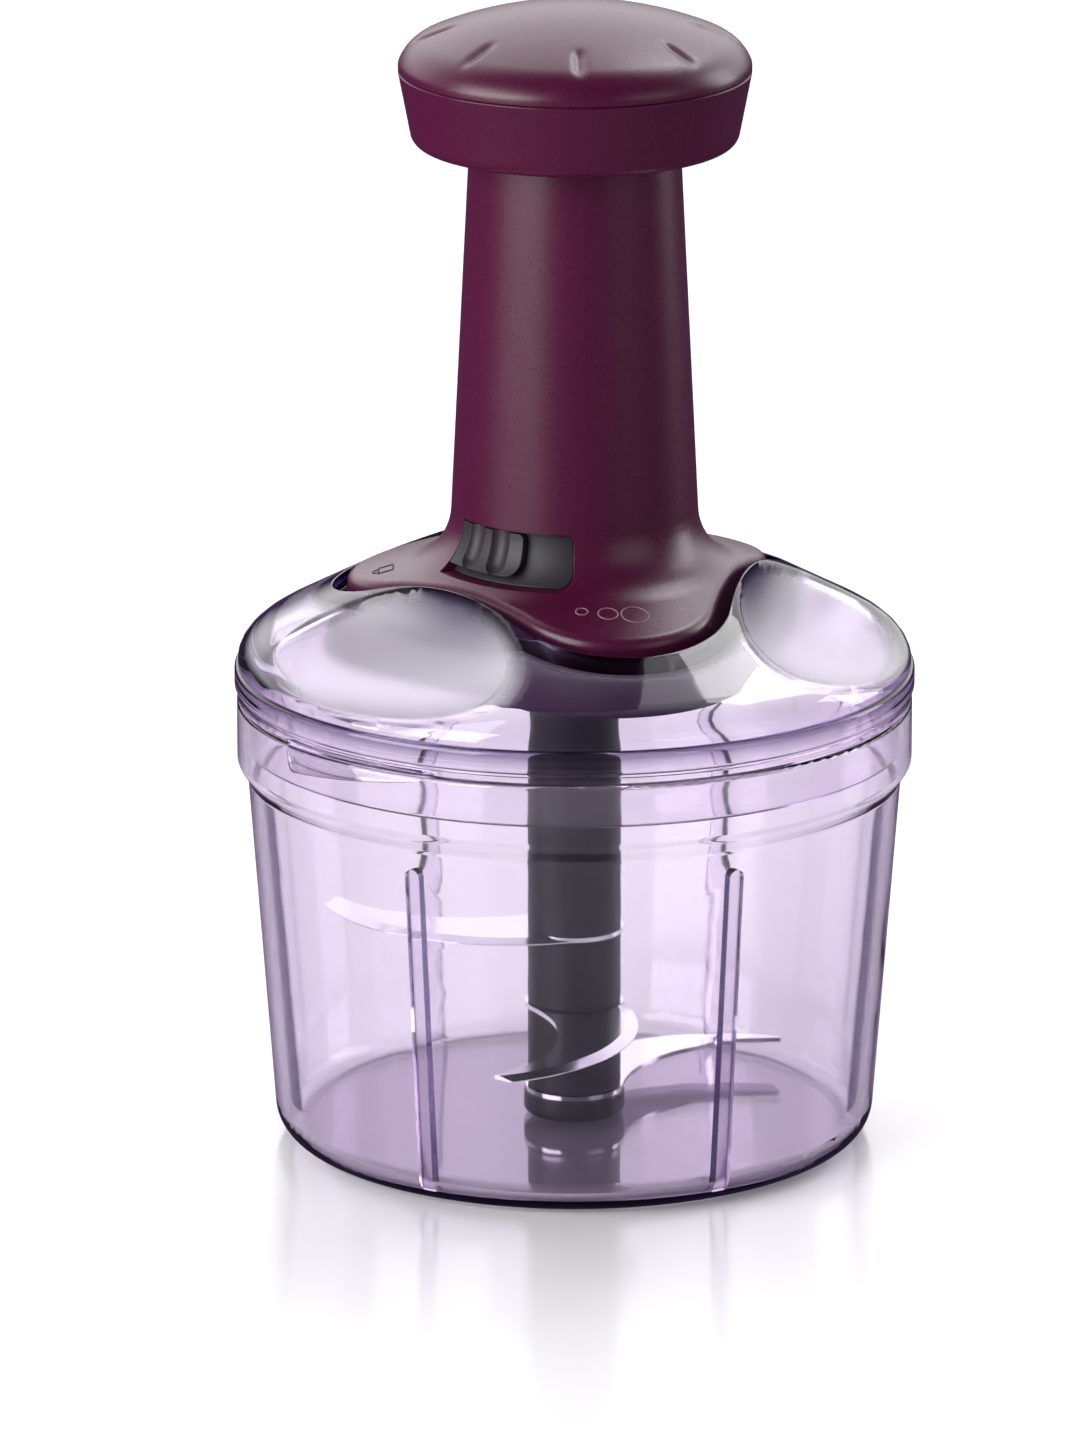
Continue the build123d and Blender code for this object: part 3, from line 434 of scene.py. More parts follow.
class Recipe(Graph):
    """Geometry Nodes tree with named sizes that makes one piece."""

    def __init__(self, name: str) -> None:
        """Start the tree with its output."""
        super().__init__(bpy.data.node_groups.new(name, "GeometryNodeTree"))
        self.tree.interface.new_socket("Geometry", in_out="OUTPUT", socket_type="NodeSocketGeometry")
        self.entry = self.tree.nodes.new("NodeGroupInput")
        self.exit = self.tree.nodes.new("NodeGroupOutput")
        self.values: dict[str, float | int] = {}

    def size(self, name: str, value: float | int) -> Socket:
        """Add a named input.

        Args:
            name: Name of the input.
            value: A length in metres, an angle in radians, or a whole count.

        Returns:
            The socket that gives the value inside the tree.
        """
        kind = "NodeSocketInt" if isinstance(value, int) else "NodeSocketFloat"
        item = self.tree.interface.new_socket(name, in_out="INPUT", socket_type=kind)
        self.values[item.identifier] = value
        return self.entry.outputs[name]

    def vector(self, x: float | Socket, y: float | Socket, z: float | Socket) -> Socket:
        """Join three numbers to a vector."""
        return self.add("ShaderNodeCombineXYZ", {0: x, 1: y, 2: z}).outputs[0]

    def position(self) -> tuple[Socket, Socket, Socket]:
        """Read where each point is.

        Returns:
            The sockets with its X, Y and Z.
        """
        place = self.add("GeometryNodeInputPosition").outputs[0]
        parts = self.add("ShaderNodeSeparateXYZ", {0: place}).outputs
        return parts[0], parts[1], parts[2]

    def around(self, radius: float | Socket, azimuth: float | Socket, height: float | Socket) -> Socket:
        """Work out the point at a radius, an azimuth and a height.

        Args:
            radius: Distance from the upright axis.
            azimuth: Angle about it, from +X.
            height: Height of the point.

        Returns:
            The socket with the point.
        """
        x = self.math("MULTIPLY", radius, self.math("COSINE", azimuth))
        y = self.math("MULTIPLY", radius, self.math("SINE", azimuth))
        return self.vector(x, y, height)

    def move(self, geometry: Socket, place: Socket) -> Socket:
        """Put each point of a geometry at a place."""
        return self.add("GeometryNodeSetPosition", {"Geometry": geometry, "Position": place}).outputs[0]

    def piece(self, name: str, geometry: Socket, finish: Finish, sharp_angle: float) -> bpy.types.Object:
        """Close the tree, run it and keep its result as a plain mesh.

        Args:
            name: Name of the piece.
            geometry: Last geometry of the tree.
            finish: Finish of the piece.
            sharp_angle: Edges that turn by more degrees are shown sharp.

        Returns:
            The new piece, at the origin.
        """
        real = self.add("GeometryNodeRealizeInstances", {"Geometry": geometry}).outputs[0]
        inputs = {"Geometry": real, "Material": finish.material()}
        dressed = self.add("GeometryNodeSetMaterial", inputs).outputs[0]
        self.tree.links.new(dressed, self.exit.inputs[0])
        holder = bpy.data.objects.new(f"{name}_recipe", bpy.data.meshes.new(f"{name}_recipe"))
        bpy.context.scene.collection.objects.link(holder)
        modifier = holder.modifiers.new("recipe", "NODES")
        modifier.node_group = self.tree
        for identifier, value in self.values.items():
            modifier[identifier] = value
        graph = bpy.context.evaluated_depsgraph_get()
        mesh = bpy.data.meshes.new_from_object(holder.evaluated_get(graph))
        bpy.data.objects.remove(holder)
        mesh.shade_smooth()
        mesh.set_sharp_from_angle(angle=math.radians(sharp_angle))
        piece = bpy.data.objects.new(name, mesh)
        bpy.context.scene.collection.objects.link(piece)
        return piece


def keep(piece: bpy.types.Object, body: str, slot: str, *nodes: str) -> None:
    """Hand a finished piece over to the frame.

    Args:
        piece: The piece, at its place.
        body: CAD body that it moves with.
        slot: Material slot of the record that it belongs to, not used here.
        nodes: CAD nodes that it stands for.
    """
    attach(piece, body)
    if nodes:
        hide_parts(*nodes)
    LOG.info("%s: %d faces on %s", piece.name, len(piece.data.polygons), body)


class SubAssembly:
    """A group of CAD nodes with their finishes, and the pieces that are added to them."""

    finishes: dict[str, Finish] = {}

    def dress(self) -> None:
        """Give each CAD node its finish."""
        for node, finish in self.finishes.items():
            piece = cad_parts[node]
            for slot in piece.material_slots:
                slot.material = finish.material()
            LOG.info("%s: %s", node, finish.name.lower())

    def build(self) -> None:
        """Make the pieces that are added, if any, and dress the rest."""
        self.dress()


@dataclass
class Bowl(SubAssembly):
    """Clear bowl with its pivot pin."""

    finishes = {"bowl": Finish.BOWL, "bowl_pivot_pin": Finish.DRAWN}


class Face(Enum):
    """Which dish form lowers a stretch of the lid's section."""

    PLAIN = 0
    INSIDE = 1
    OUTSIDE = 2


@dataclass
class Corner:
    """One corner of the lid's section, for all azimuths at once, in millimetres.

    Its round starts before the corner and ends after it, and the way to the next corner is cut into
    steps. That way follows the lid's cone if it is on one of its faces. Edge shade is how strong the
    painted shade along the thick edges is at the corner, and pocket shade how strong the painted shade
    on the pocket wall is, both from 0 to 1. A corner that is sunk already lies as low as a dish takes it.
    """

    radius: np.ndarray
    height: np.ndarray
    before: float
    after: float
    steps: int
    face: Face = Face.PLAIN
    # Strength of the painted edge shade here.
    deep: float = 0.0
    # Strength of the painted pocket shade here.
    cast: float = 0.0
    sunk: bool = False


@dataclass(frozen=True)
class LidRounds:
    """Rounds of the lid's edges, in millimetres."""

    hole: float = 0.4
    pocket_floor: float = 1.8
    pocket_top: float = 1.5
    bore: float = 4.9
    plug: float = 0.5
    plug_root: float = 0.4
    tab: float = 0.12
    groove_lip: float = 0.05
    groove: float = 0.1
    bead_foot: float = 1.0
    bead_top: float = 1.3
    shoulder_foot: float = 0.25
    shoulder_side: float = 4.2
    shoulder_top: float = 6.3
    mouth: float = 0.5
    pocket: float = 0.8


@dataclass(frozen=True)
class LidEdgeShades:
    """Strength of the painted shade along the lid's thick edges, from 0 to 1."""

    pocket_floor: float = 0.5
    bead_top: float = 0.85
    shoulder_foot: float = 1.0
    mouth: float = 0.95
    pocket: float = 0.7


@dataclass
class Lid(SubAssembly):
    """Clear lid: cone with three frosted dishes, lobed pocket, plug, rolled rim and thumb tab."""

    columns: int = 400
    round_points: int = 6
    small_round_points: int = 3
    small_round_mm: float = 0.3
    colour_fade: int = 8
    inside_steps: int = 32
    outside_steps: int = 48
    wall_steps: int = 8
    floor_steps: int = 6
    sharp_angle: float = 50.0
    rounds: LidRounds = LidRounds()
    # Strengths of the painted shade along the thick edges.
    edge_shades: LidEdgeShades = LidEdgeShades()
    # Strengths of the painted shade on the pocket's floor and on its outer wall.
    pocket_floor_shade: float = 1.0
    pocket_top_shade: float = 0.8
    bottom_mm: float = 100.0
    rim_radius_mm: float = 75.0
    edge_radius_mm: float = 74.4
    bead_mm: tuple[float, float] = (102.2, 107.4)
    groove_mm: tuple[float, float] = (0.6, 0.6)
    shoulder_mm: float = 112.0
    shoulder_inset_mm: float = 0.14
    cone_angle: float = 28.0
    wall_mm: float = 2.4
    plug_mm: tuple[float, float, float] = (69.7, 71.7, 90.0)
    pocket_mm: tuple[float, float] = (106.4, 108.8)
    pocket_gap_mm: float = 3.2
    pocket_wall_mm: float = 2.2
    hole_radius_mm: float = 12.5
    lobe_count: int = 3
    lobe_azimuth: float = 46.0
    lobe_radius_mm: float = 23.0
    lobe_reach_mm: float = 28.0
    waist_sink_mm: float = 1.3
    dish_place_mm: tuple[float, float] = (65.0, 131.0)
    dish_mm: tuple[float, float, float] = (25.5, 47.0, 21.4)
    dish_blend_mm: float = 3.0
    tab_azimuths: tuple[float, float] = (213.5, 246.6)
    tab_end_angle: float = 3.2
    tab_drop_mm: float = 5.9
    tab_taper: float = 0.75
    tab_radii_mm: tuple[float, float] = (74.8, 76.1)
    tab_top_mm: float = 101.6
    tab_roots_mm: tuple[float, float] = (0.8, 0.4)
    tab_rise_mm: float = 0.6
    tab_corners_mm: tuple[float, float] = (0.4, 0.3)

    def lobed(self, azimuth: np.ndarray, offset: float) -> np.ndarray:
        """Follow the tower's lobed outline, with lobes and hollow waists as arcs.

        Args:
            azimuth: Azimuths of the columns.
            offset: Distance that the outline is grown by.

        Returns:
            The radius of the outline at each azimuth.
        """
        reach, lobe = self.lobe_reach_mm, self.lobe_radius_mm
        waist = reach / 2 + lobe - self.waist_sink_mm
        hollow = (reach**2 + waist**2 - reach * waist - lobe**2) / (2 * self.waist_sink_mm)
        centre = waist + hollow
        pitch = TURN / self.lobe_count
        turn = np.abs((azimuth - math.radians(self.lobe_azimuth) + pitch / 2) % pitch - pitch / 2)
        past = pitch / 2 - turn
        grown, shrunk = lobe + offset, hollow - offset
        on_lobe = reach * np.cos(turn) + np.sqrt(np.maximum(grown**2 - (reach * np.sin(turn)) ** 2, 0))
        on_waist = centre * np.cos(past) - np.sqrt(shrunk**2 - (centre * np.sin(past)) ** 2)
        way = np.array((centre * math.cos(pitch / 2) - reach, centre * math.sin(pitch / 2)))
        joint = np.array((reach, 0)) + way / np.linalg.norm(way) * grown
        return np.where(turn < math.atan2(joint[1], joint[0]), on_lobe, on_waist)

    def cone(self, radius: np.ndarray | float, below: float = 0.0) -> np.ndarray:
        """Return the height of the cone at a radius, or of a face that lies square below it."""
        slope = math.radians(self.cone_angle)
        return self.shoulder_mm + (self.edge_radius_mm - radius) * math.tan(slope) - below / math.cos(slope)

    def dished(self, radius: np.ndarray, azimuth: np.ndarray, grown: float) -> np.ndarray:
        """Return the height of the nearest dish, or far above the lid where there is none.

        Args:
            radius: Radius of each point, in millimetres.
            azimuth: Azimuth of each point.
            grown: Wall that the dish is grown by.

        Returns:
            The height of the dish at each point.
        """
        length, width, depth = (size + grown for size in self.dish_mm)
        pitch = TURN / self.lobe_count
        first = math.radians(self.lobe_azimuth) + pitch / 2
        turn = (azimuth - first + pitch / 2) % pitch - pitch / 2
        along = (radius * np.cos(turn) - self.dish_place_mm[0]) / length
        across = radius * np.sin(turn) / width
        inside = 1 - along**2 - across**2
        return self.dish_place_mm[1] - depth * np.sign(inside) * np.sqrt(np.abs(inside))

    def sunk(self, height: np.ndarray, radius: np.ndarray, azimuth: np.ndarray, grown: float) -> np.ndarray:
        """Lower heights to the nearest dish, with a soft edge.

        Args:
            height: Height of each point without the dishes.
            radius: Radius of each point, in millimetres.
            azimuth: Azimuth of each point.
            grown: Wall that the dish is grown by.

        Returns:
            The lowered heights.
        """
        dish = self.dished(radius, azimuth, grown)
        near = np.clip(1 - np.abs(height - dish) / self.dish_blend_mm, 0, 1)
        return np.minimum(height, dish) - near**2 * self.dish_blend_mm / 4

    def tab(self, azimuth: np.ndarray) -> tuple[np.ndarray, np.ndarray]:
        """Shape the thumb tab, which is deepest at its first end and runs out at the other.

        Args:
            azimuth: Azimuths of the columns.

        Returns:
            How far the tab stands out, from 0 to 1, and how low it hangs, in millimetres.
        """
        start, end = self.tab_azimuths
        degrees = np.degrees(azimuth)
        rise = np.clip((degrees - start) / self.tab_end_angle, 0, 1)
        fall = np.clip((end - degrees) / self.tab_end_angle, 0, 1)
        out = np.sqrt(1 - (1 - rise) ** 2) * fall * fall * (3 - 2 * fall)
        left = np.clip((end - degrees) / (end - start), 0, 1)
        return out, out * self.tab_drop_mm * left**self.tab_taper

    def corner(self, azimuth: np.ndarray, radius: np.ndarray | float, height: np.ndarray | float,
               rounding: float, steps: int, **kind) -> Corner:
        """Return a corner with the same round on both of its sides.

        Args:
            azimuth: Azimuths of the columns.
            radius: Radius of the corner, at each azimuth or at all.
            height: Height of the corner, at each azimuth or at all.
            rounding: Length of the round on each side.
            steps: Steps of the way to the next corner.
            kind: Other fields of the corner.

        Returns:
            The corner.
        """
        level = np.ones_like(azimuth)
        return Corner(radius * level, height * level, rounding, rounding, steps, **kind)

    def flap(self, azimuth: np.ndarray) -> list[Corner]:
        """Work out the rim's lower edge, which the thumb tab pulls out and down.

        Args:
            azimuth: Azimuths of the columns.

        Returns:
            The corners from the plug's root to the tab's top.
        """
        out, drop = self.tab(azimuth)
        inner, outer = self.tab_radii_mm
        edge, bottom, top = self.edge_radius_mm, self.bottom_mm, self.tab_top_mm
        root, half_root = self.tab_roots_mm
        upper, close = self.tab_corners_mm
        places = (
            ((edge - root, bottom), (inner, bottom)),
            ((edge - half_root, bottom), (inner, bottom - drop)),
            ((edge, bottom), (outer, bottom - drop)),
            ((edge, bottom + self.tab_rise_mm), (outer, top - upper)),
            ((edge, top - close), (edge, top - close)),
        )
        corners = []
        for plain, pulled in places:
            radius = plain[0] + (pulled[0] - plain[0]) * out
            height = plain[1] + (pulled[1] - plain[1]) * out
            corners.append(self.corner(azimuth, radius, height, self.rounds.tab, 1))
        return corners

    def rim(self, azimuth: np.ndarray) -> list[Corner]:
        """Work out the rim with its groove and its rolled bead.

        Args:
            azimuth: Azimuths of the columns.

        Returns:
            The corners from the rim's lower edge to the shoulder's foot.
        """
        rounds, edge_shades = self.rounds, self.edge_shades
        edge, rim = self.edge_radius_mm, self.rim_radius_mm
        reach, height = self.groove_mm
        low, high = self.bead_mm
        # The last value of each place is the strength of the painted edge shade.
        places = (
            (edge, low - height, rounds.groove_lip, 0.0),
            (edge - reach, low - height, rounds.groove, 0.0),
            (edge - reach, low, rounds.groove, 0.0),
            (rim, low, rounds.bead_foot, 0.0),
            (rim, high, rounds.bead_top, edge_shades.bead_top),
            (edge - self.shoulder_inset_mm, high, rounds.shoulder_foot, edge_shades.shoulder_foot),
        )
        corners = self.flap(azimuth)
        for radius, lifted, rounding, deep in places:
            corners.append(self.corner(azimuth, radius, lifted, rounding, 2, deep=deep))
        return corners

    def pocket(self, azimuth: np.ndarray) -> list[Corner]:
        """Work out the underside of the pocket's floor and its outer wall.

        Args:
            azimuth: Azimuths of the columns.

        Returns:
            The corners from the hole to the cone's inner face.
        """
        rounds, floor = self.rounds, self.pocket_mm[0]
        outer = self.lobed(azimuth, self.pocket_gap_mm + self.pocket_wall_mm)
        top = self.sunk(self.cone(outer, self.wall_mm), outer, azimuth, self.wall_mm)
        # The pocket floor's corner takes painted edge shade and painted pocket shade.
        floor_shade = {"deep": self.edge_shades.pocket_floor, "cast": self.pocket_floor_shade}
        ceiling = {"face": Face.INSIDE, "cast": self.pocket_top_shade, "sunk": True}
        return [
            self.corner(azimuth, self.hole_radius_mm, floor, rounds.hole, self.floor_steps),
            self.corner(azimuth, outer, floor, rounds.pocket_floor, self.floor_steps, **floor_shade),
            self.corner(azimuth, outer, top, rounds.pocket_top, self.inside_steps, **ceiling),
        ]

    def plug(self, azimuth: np.ndarray) -> list[Corner]:
        """Work out the plug that hangs into the bowl.

        Args:
            azimuth: Azimuths of the columns.

        Returns:
            The corners down its bore and up its outside to its root.
        """
        rounds = self.rounds
        bore, outside, bottom = self.plug_mm
        return [
            self.corner(azimuth, bore, self.cone(bore, self.wall_mm), rounds.bore, 3),
            self.corner(azimuth, bore, bottom, rounds.plug, 1),
            self.corner(azimuth, outside, bottom, rounds.plug, 3),
            self.corner(azimuth, outside, self.bottom_mm, rounds.plug_root, 2),
        ]

    def section(self, azimuth: np.ndarray) -> list[Corner]:
        """Work out the lid's closed section.

        Args:
            azimuth: Azimuths of the columns.

        Returns:
            All its corners, once round with the plastic on the left.
        """
        level = np.ones_like(azimuth)
        rounds, edge_shades, floor = self.rounds, self.edge_shades, self.pocket_mm[1]
        inner = self.lobed(azimuth, self.pocket_gap_mm)
        top = self.sunk(self.cone(inner), inner, azimuth, 0.0)
        # Painted edge shade at the mouth and down the pocket's wall.
        mouth = {"deep": edge_shades.mouth, "sunk": True}
        shoulder = Corner(
            self.edge_radius_mm * level, self.shoulder_mm * level,
            rounds.shoulder_side, rounds.shoulder_top, self.outside_steps, Face.OUTSIDE,
        )
        return [
            *self.pocket(azimuth),
            *self.plug(azimuth),
            *self.rim(azimuth),
            shoulder,
            self.corner(azimuth, inner, top, rounds.mouth, self.wall_steps, **mouth),
            self.corner(azimuth, inner, floor, rounds.pocket, self.wall_steps, deep=edge_shades.pocket),
            self.corner(azimuth, self.hole_radius_mm, floor, rounds.hole, 1),
        ]

    def rows(self, azimuth: np.ndarray) -> tuple[np.ndarray, np.ndarray, list[Face], np.ndarray]:
        """Walk round the section with rounded corners.

        Args:
            azimuth: Azimuths of the columns.

        Returns:
            Radius and height of each row at each azimuth, then the face that each row is on, and
            how strong the painted edge shade and the painted pocket shade are there.
        """
        corners = self.section(azimuth)
        places = [np.stack((corner.radius, corner.height)) for corner in corners]
        count = len(corners)
        starts, ends = [], []
        for index, corner in enumerate(corners):
            back = places[index - 1] - places[index]
            ahead = places[(index + 1) % count] - places[index]
            starts.append(places[index] + back / np.linalg.norm(back, axis=0) * corner.before)
            ends.append(places[index] + ahead / np.linalg.norm(ahead, axis=0) * corner.after)
        rows, faces, shade_strengths = [], [], []
        for index, corner in enumerate(corners):
            below = self.wall_mm if corner.face is Face.INSIDE else 0.0
            face = corner.face if corner.face is not Face.PLAIN else corners[index - 1].face
            face = Face.PLAIN if corner.sunk else face
            small = corner.before < self.small_round_mm
            for share in np.linspace(0, 1, self.small_round_points if small else self.round_points):
                curve = (1 - share) ** 2 * starts[index] + share**2 * ends[index]
                rows.append(curve + 2 * share * (1 - share) * places[index])
                faces.append(face)
                shade_strengths.append((corner.deep, corner.cast))
            following = corners[(index + 1) % count]
            for step in range(1, corner.steps):
                share = step / corner.steps
                row = ends[index] * (1 - share) + starts[(index + 1) % count] * share
                if corner.face is not Face.PLAIN:
                    row[1] = self.cone(row[0], below)
                rows.append(row)
                faces.append(corner.face)
                power = 1 if corner.face is Face.PLAIN else self.colour_fade
                left, right = (1 - share) ** power, share**power
                deep = corner.deep * left + following.deep * right
                shade_strengths.append((deep, corner.cast * left + following.cast * right))
        whole = np.stack(rows)
        return whole[:, 0], whole[:, 1], faces, np.array(shade_strengths)

    def lid(self) -> bpy.types.Object:
        """Make the lid as one closed mesh, with its frost, its painted edge shade and its painted pocket
        shade as attributes.

        Returns:
            The new lid, at the origin.
        """
        azimuth = np.arange(self.columns) * (TURN / self.columns)
        radius, height, faces, shade_strengths = self.rows(azimuth)
        frost = np.zeros_like(height)
        for row, face in enumerate(faces):
            if face is Face.PLAIN:
                continue
            grown = self.wall_mm if face is Face.INSIDE else 0.0
            lowered = self.sunk(height[row], radius[row], azimuth, grown)
            if face is Face.OUTSIDE:
                frost[row] = np.clip((height[row] - lowered) / self.dish_blend_mm, 0, 1)
            height[row] = lowered
        points = np.stack((radius * np.cos(azimuth), radius * np.sin(azimuth), height), axis=-1) * MM
        row_count, columns = height.shape
        quads = [
            (row * columns + column, row * columns + (column + 1) % columns,
             (row + 1) % row_count * columns + (column + 1) % columns,
             (row + 1) % row_count * columns + column)
            for row in range(row_count) for column in range(columns)
        ]
        mesh = bpy.data.meshes.new("clear_lid")
        mesh.from_pydata(points.reshape(-1, 3), [], quads)
        deep, cast = (np.repeat(column, columns) for column in shade_strengths.T)
        for name, values in ((FROST, frost.ravel()), (EDGE_SHADE, deep), (POCKET_SHADE, cast)):
            mesh.attributes.new(name, "FLOAT", "POINT").data.foreach_set("value", values)
        mesh.materials.append(Finish.LID.material())
        mesh.shade_smooth()
        mesh.set_sharp_from_angle(angle=math.radians(self.sharp_angle))
        piece = bpy.data.objects.new("clear_lid", mesh)
        bpy.context.scene.collection.objects.link(piece)
        return piece

    def build(self) -> None:
        """Put the softly dished lid in the plain one's place."""
        keep(self.lid(), "lid", "clear_lavender", "lid")


@dataclass
class BladeStack(SubAssembly):
    """Stem with three curved blades and the sleeves between them."""

    finishes = {
        "blade_stem": Finish.GRAPHITE,
        "upper_spacer": Finish.GRAPHITE,
        "lower_spacer": Finish.GRAPHITE,
        "stem_foot": Finish.GRAPHITE,
        "upper_blade": Finish.BLADE,
        "middle_blade": Finish.BLADE,
        "lower_blade": Finish.BLADE,
    }


@dataclass
class Drive(SubAssembly):
    """Twisted rod, nut, bearing and return spring inside the tower."""

    spring_foot_mm: float = 112.8
    spring_head_mm: float = 176.8
    press_stroke_mm: float = 22.5

    finishes = {
        "drive_rod": Finish.DRAWN,
        "drive_coupling": Finish.GRAPHITE,
        "coupling_pin": Finish.DRAWN,
        "drive_bush": Finish.BEARING,
        "thrust_washer": Finish.DRAWN,
        "spring_seat": Finish.DRAWN,
        "return_spring": Finish.DRAWN,
        "guide_sleeve": Finish.BEARING,
        "drive_nut": Finish.BEARING,
        "nut_ring": Finish.BEARING,
    }

    def build(self) -> None:
        """Dress the drive and give its spring a mesh of its own."""
        self.dress()
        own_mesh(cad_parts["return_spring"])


@dataclass
class Lock(SubAssembly):
    """Slider with finger grooves over its curved track."""

    finishes = {"lock_slider": Finish.GRAPHITE, "lock_track": Finish.GRAPHITE}


@dataclass
class Tower(SubAssembly):
    """Plum tower with its lobed foot and the moulded marks on it."""

    foot_radius_mm: float = 27.65
    foot_height_mm: float = 132.3
    slope_angle: float = 17.0
    line_radius_mm: float = 0.2
    line_sides: int = 8
    line_sink_mm: float = 0.04
    line_sharp_angle: float = 60.0
    ring_count: int = 3
    ring_points: int = 40
    ring_radius_mm: float = 1.3
    ring_growth_mm: float = 0.85
    ring_place_mm: float = 38.6
    ring_step_mm: float = 1.1
    ring_azimuth: float = 272.3
    ring_turn: float = 8.2
    sign_place_mm: float = 41.5
    sign_azimuth: float = 180.0
    sign_width_mm: float = 4.4
    sign_height_mm: float = 3.2
    sign_shackle_mm: float = 1.3
    sign_bow_points: int = 20
    sign_cuts: int = 5

    finishes = {
        "tower_housing": Finish.PLUM,
        "base_plate": Finish.PLUM,
        "base_screws": Finish.DRAWN,
    }

    def lay(self, recipe: Recipe, curves: Socket) -> Socket:
        """Lay flat curves on the sloping foot and give them a thin round line.

        Args:
            recipe: Tree that the curves are in.
            curves: Curves in the plane of the base.

        Returns:
            The mesh of the lines.
        """
        slope = recipe.size("Slope", math.tan(math.radians(self.slope_angle)))
        foot_radius = recipe.size("Foot radius", self.foot_radius_mm * MM)
        foot_height = recipe.size("Foot height", (self.foot_height_mm - self.line_sink_mm) * MM)
        x, y, _ = recipe.position()
        squares = recipe.math("ADD", recipe.math("POWER", x, 2.0), recipe.math("POWER", y, 2.0))
        beyond = recipe.math("SUBTRACT", recipe.math("SQRT", squares), foot_radius)
        height = recipe.math("SUBTRACT", foot_height, recipe.math("MULTIPLY", beyond, slope))
        laid = recipe.move(curves, recipe.vector(x, y, height))
        radius = recipe.size("Line radius", self.line_radius_mm * MM)
        inputs = {"Resolution": self.line_sides, "Radius": radius}
        profile = recipe.add("GeometryNodeCurvePrimitiveCircle", inputs, mode="RADIUS").outputs[0]
        inputs = {"Curve": laid, "Profile Curve": profile}
        return recipe.add("GeometryNodeCurveToMesh", inputs).outputs[0]

    def rings(self) -> bpy.types.Object:
        """Make the row of growing rings on the front lobe, raised lines in a lighter plum that paints their
        highlight.

        Returns:
            The new piece, at the origin.
        """
        recipe = Recipe("growing_rings")
        count = recipe.size("Ring count", self.ring_count)
        line = recipe.add("GeometryNodeMeshLine", {"Count": count}).outputs[0]
        index = recipe.add("GeometryNodeInputIndex").outputs[0]
        step = recipe.size("Ring step", self.ring_step_mm * MM)
        place = recipe.size("Ring place", self.ring_place_mm * MM)
        radius = recipe.math("MULTIPLY_ADD", index, step, place)
        turn = recipe.size("Ring turn", math.radians(self.ring_turn))
        azimuth = recipe.size("Ring azimuth", math.radians(self.ring_azimuth))
        azimuth = recipe.math("MULTIPLY_ADD", index, turn, azimuth)
        points = recipe.move(line, recipe.around(radius, azimuth, 0.0))
        growth = recipe.size("Ring growth", self.ring_growth_mm * MM)
        first = recipe.size("Ring radius", self.ring_radius_mm * MM)
        grown = recipe.math("MULTIPLY_ADD", index, growth, first)
        inputs = {"Resolution": self.ring_points, "Radius": 1.0}
        circle = recipe.add("GeometryNodeCurvePrimitiveCircle", inputs, mode="RADIUS").outputs[0]
        inputs = {"Points": points, "Instance": circle, "Scale": recipe.vector(grown, grown, 1.0)}
        placed = recipe.add("GeometryNodeInstanceOnPoints", inputs).outputs[0]
        real = recipe.add("GeometryNodeRealizeInstances", {"Geometry": placed}).outputs[0]
        # The rings are raised lines; their lighter tone is a painted highlight.
        return recipe.piece("size_rings", self.lay(recipe, real), Finish.HIGHLIT_RELIEF, self.line_sharp_angle)

    def sign(self) -> bpy.types.Object:
        """Make the outline of a closed padlock beside the lock.

        Returns:
            The new piece, at the origin.
        """
        recipe = Recipe("padlock_sign")
        width = recipe.size("Sign width", self.sign_width_mm * MM)
        height = recipe.size("Sign height", self.sign_height_mm * MM)
        case = recipe.add(
            "GeometryNodeCurvePrimitiveQuadrilateral", {"Width": height, "Height": width}
        ).outputs[0]
        shackle = recipe.size("Shackle radius", self.sign_shackle_mm * MM)
        inputs = {
            "Resolution": self.sign_bow_points,
            "Radius": shackle,
            "Start Angle": -TURN / 4,
            "Sweep Angle": TURN / 2,
        }
        bow = recipe.add("GeometryNodeCurveArc", inputs, mode="RADIUS").outputs[0]
        half = recipe.math("DIVIDE", height, 2.0)
        inputs = {"Geometry": bow, "Translation": recipe.vector(half, 0.0, 0.0)}
        bow = recipe.add("GeometryNodeTransform", inputs).outputs[0]
        both = recipe.add("GeometryNodeJoinGeometry")
        recipe.tree.links.new(case, both.inputs[0])
        recipe.tree.links.new(bow, both.inputs[0])
        inputs = {"Curve": both.outputs[0], "Cuts": self.sign_cuts}
        fine = recipe.add("GeometryNodeSubdivideCurve", inputs).outputs[0]
        azimuth = recipe.size("Sign azimuth", math.radians(self.sign_azimuth))
        place = recipe.size("Sign place", self.sign_place_mm * MM)
        inputs = {
            "Geometry": fine,
            "Translation": recipe.around(place, azimuth, 0.0),
            "Rotation": recipe.vector(0.0, 0.0, azimuth),
        }
        placed = recipe.add("GeometryNodeTransform", inputs).outputs[0]
        return recipe.piece("lock_sign", self.lay(recipe, placed), Finish.MARK, self.line_sharp_angle)

    def build(self) -> None:
        """Dress the tower and add its marks."""
        self.dress()
        keep(self.rings(), "lid", "plum_plastic")
        keep(self.sign(), "lid", "dark_plastic")


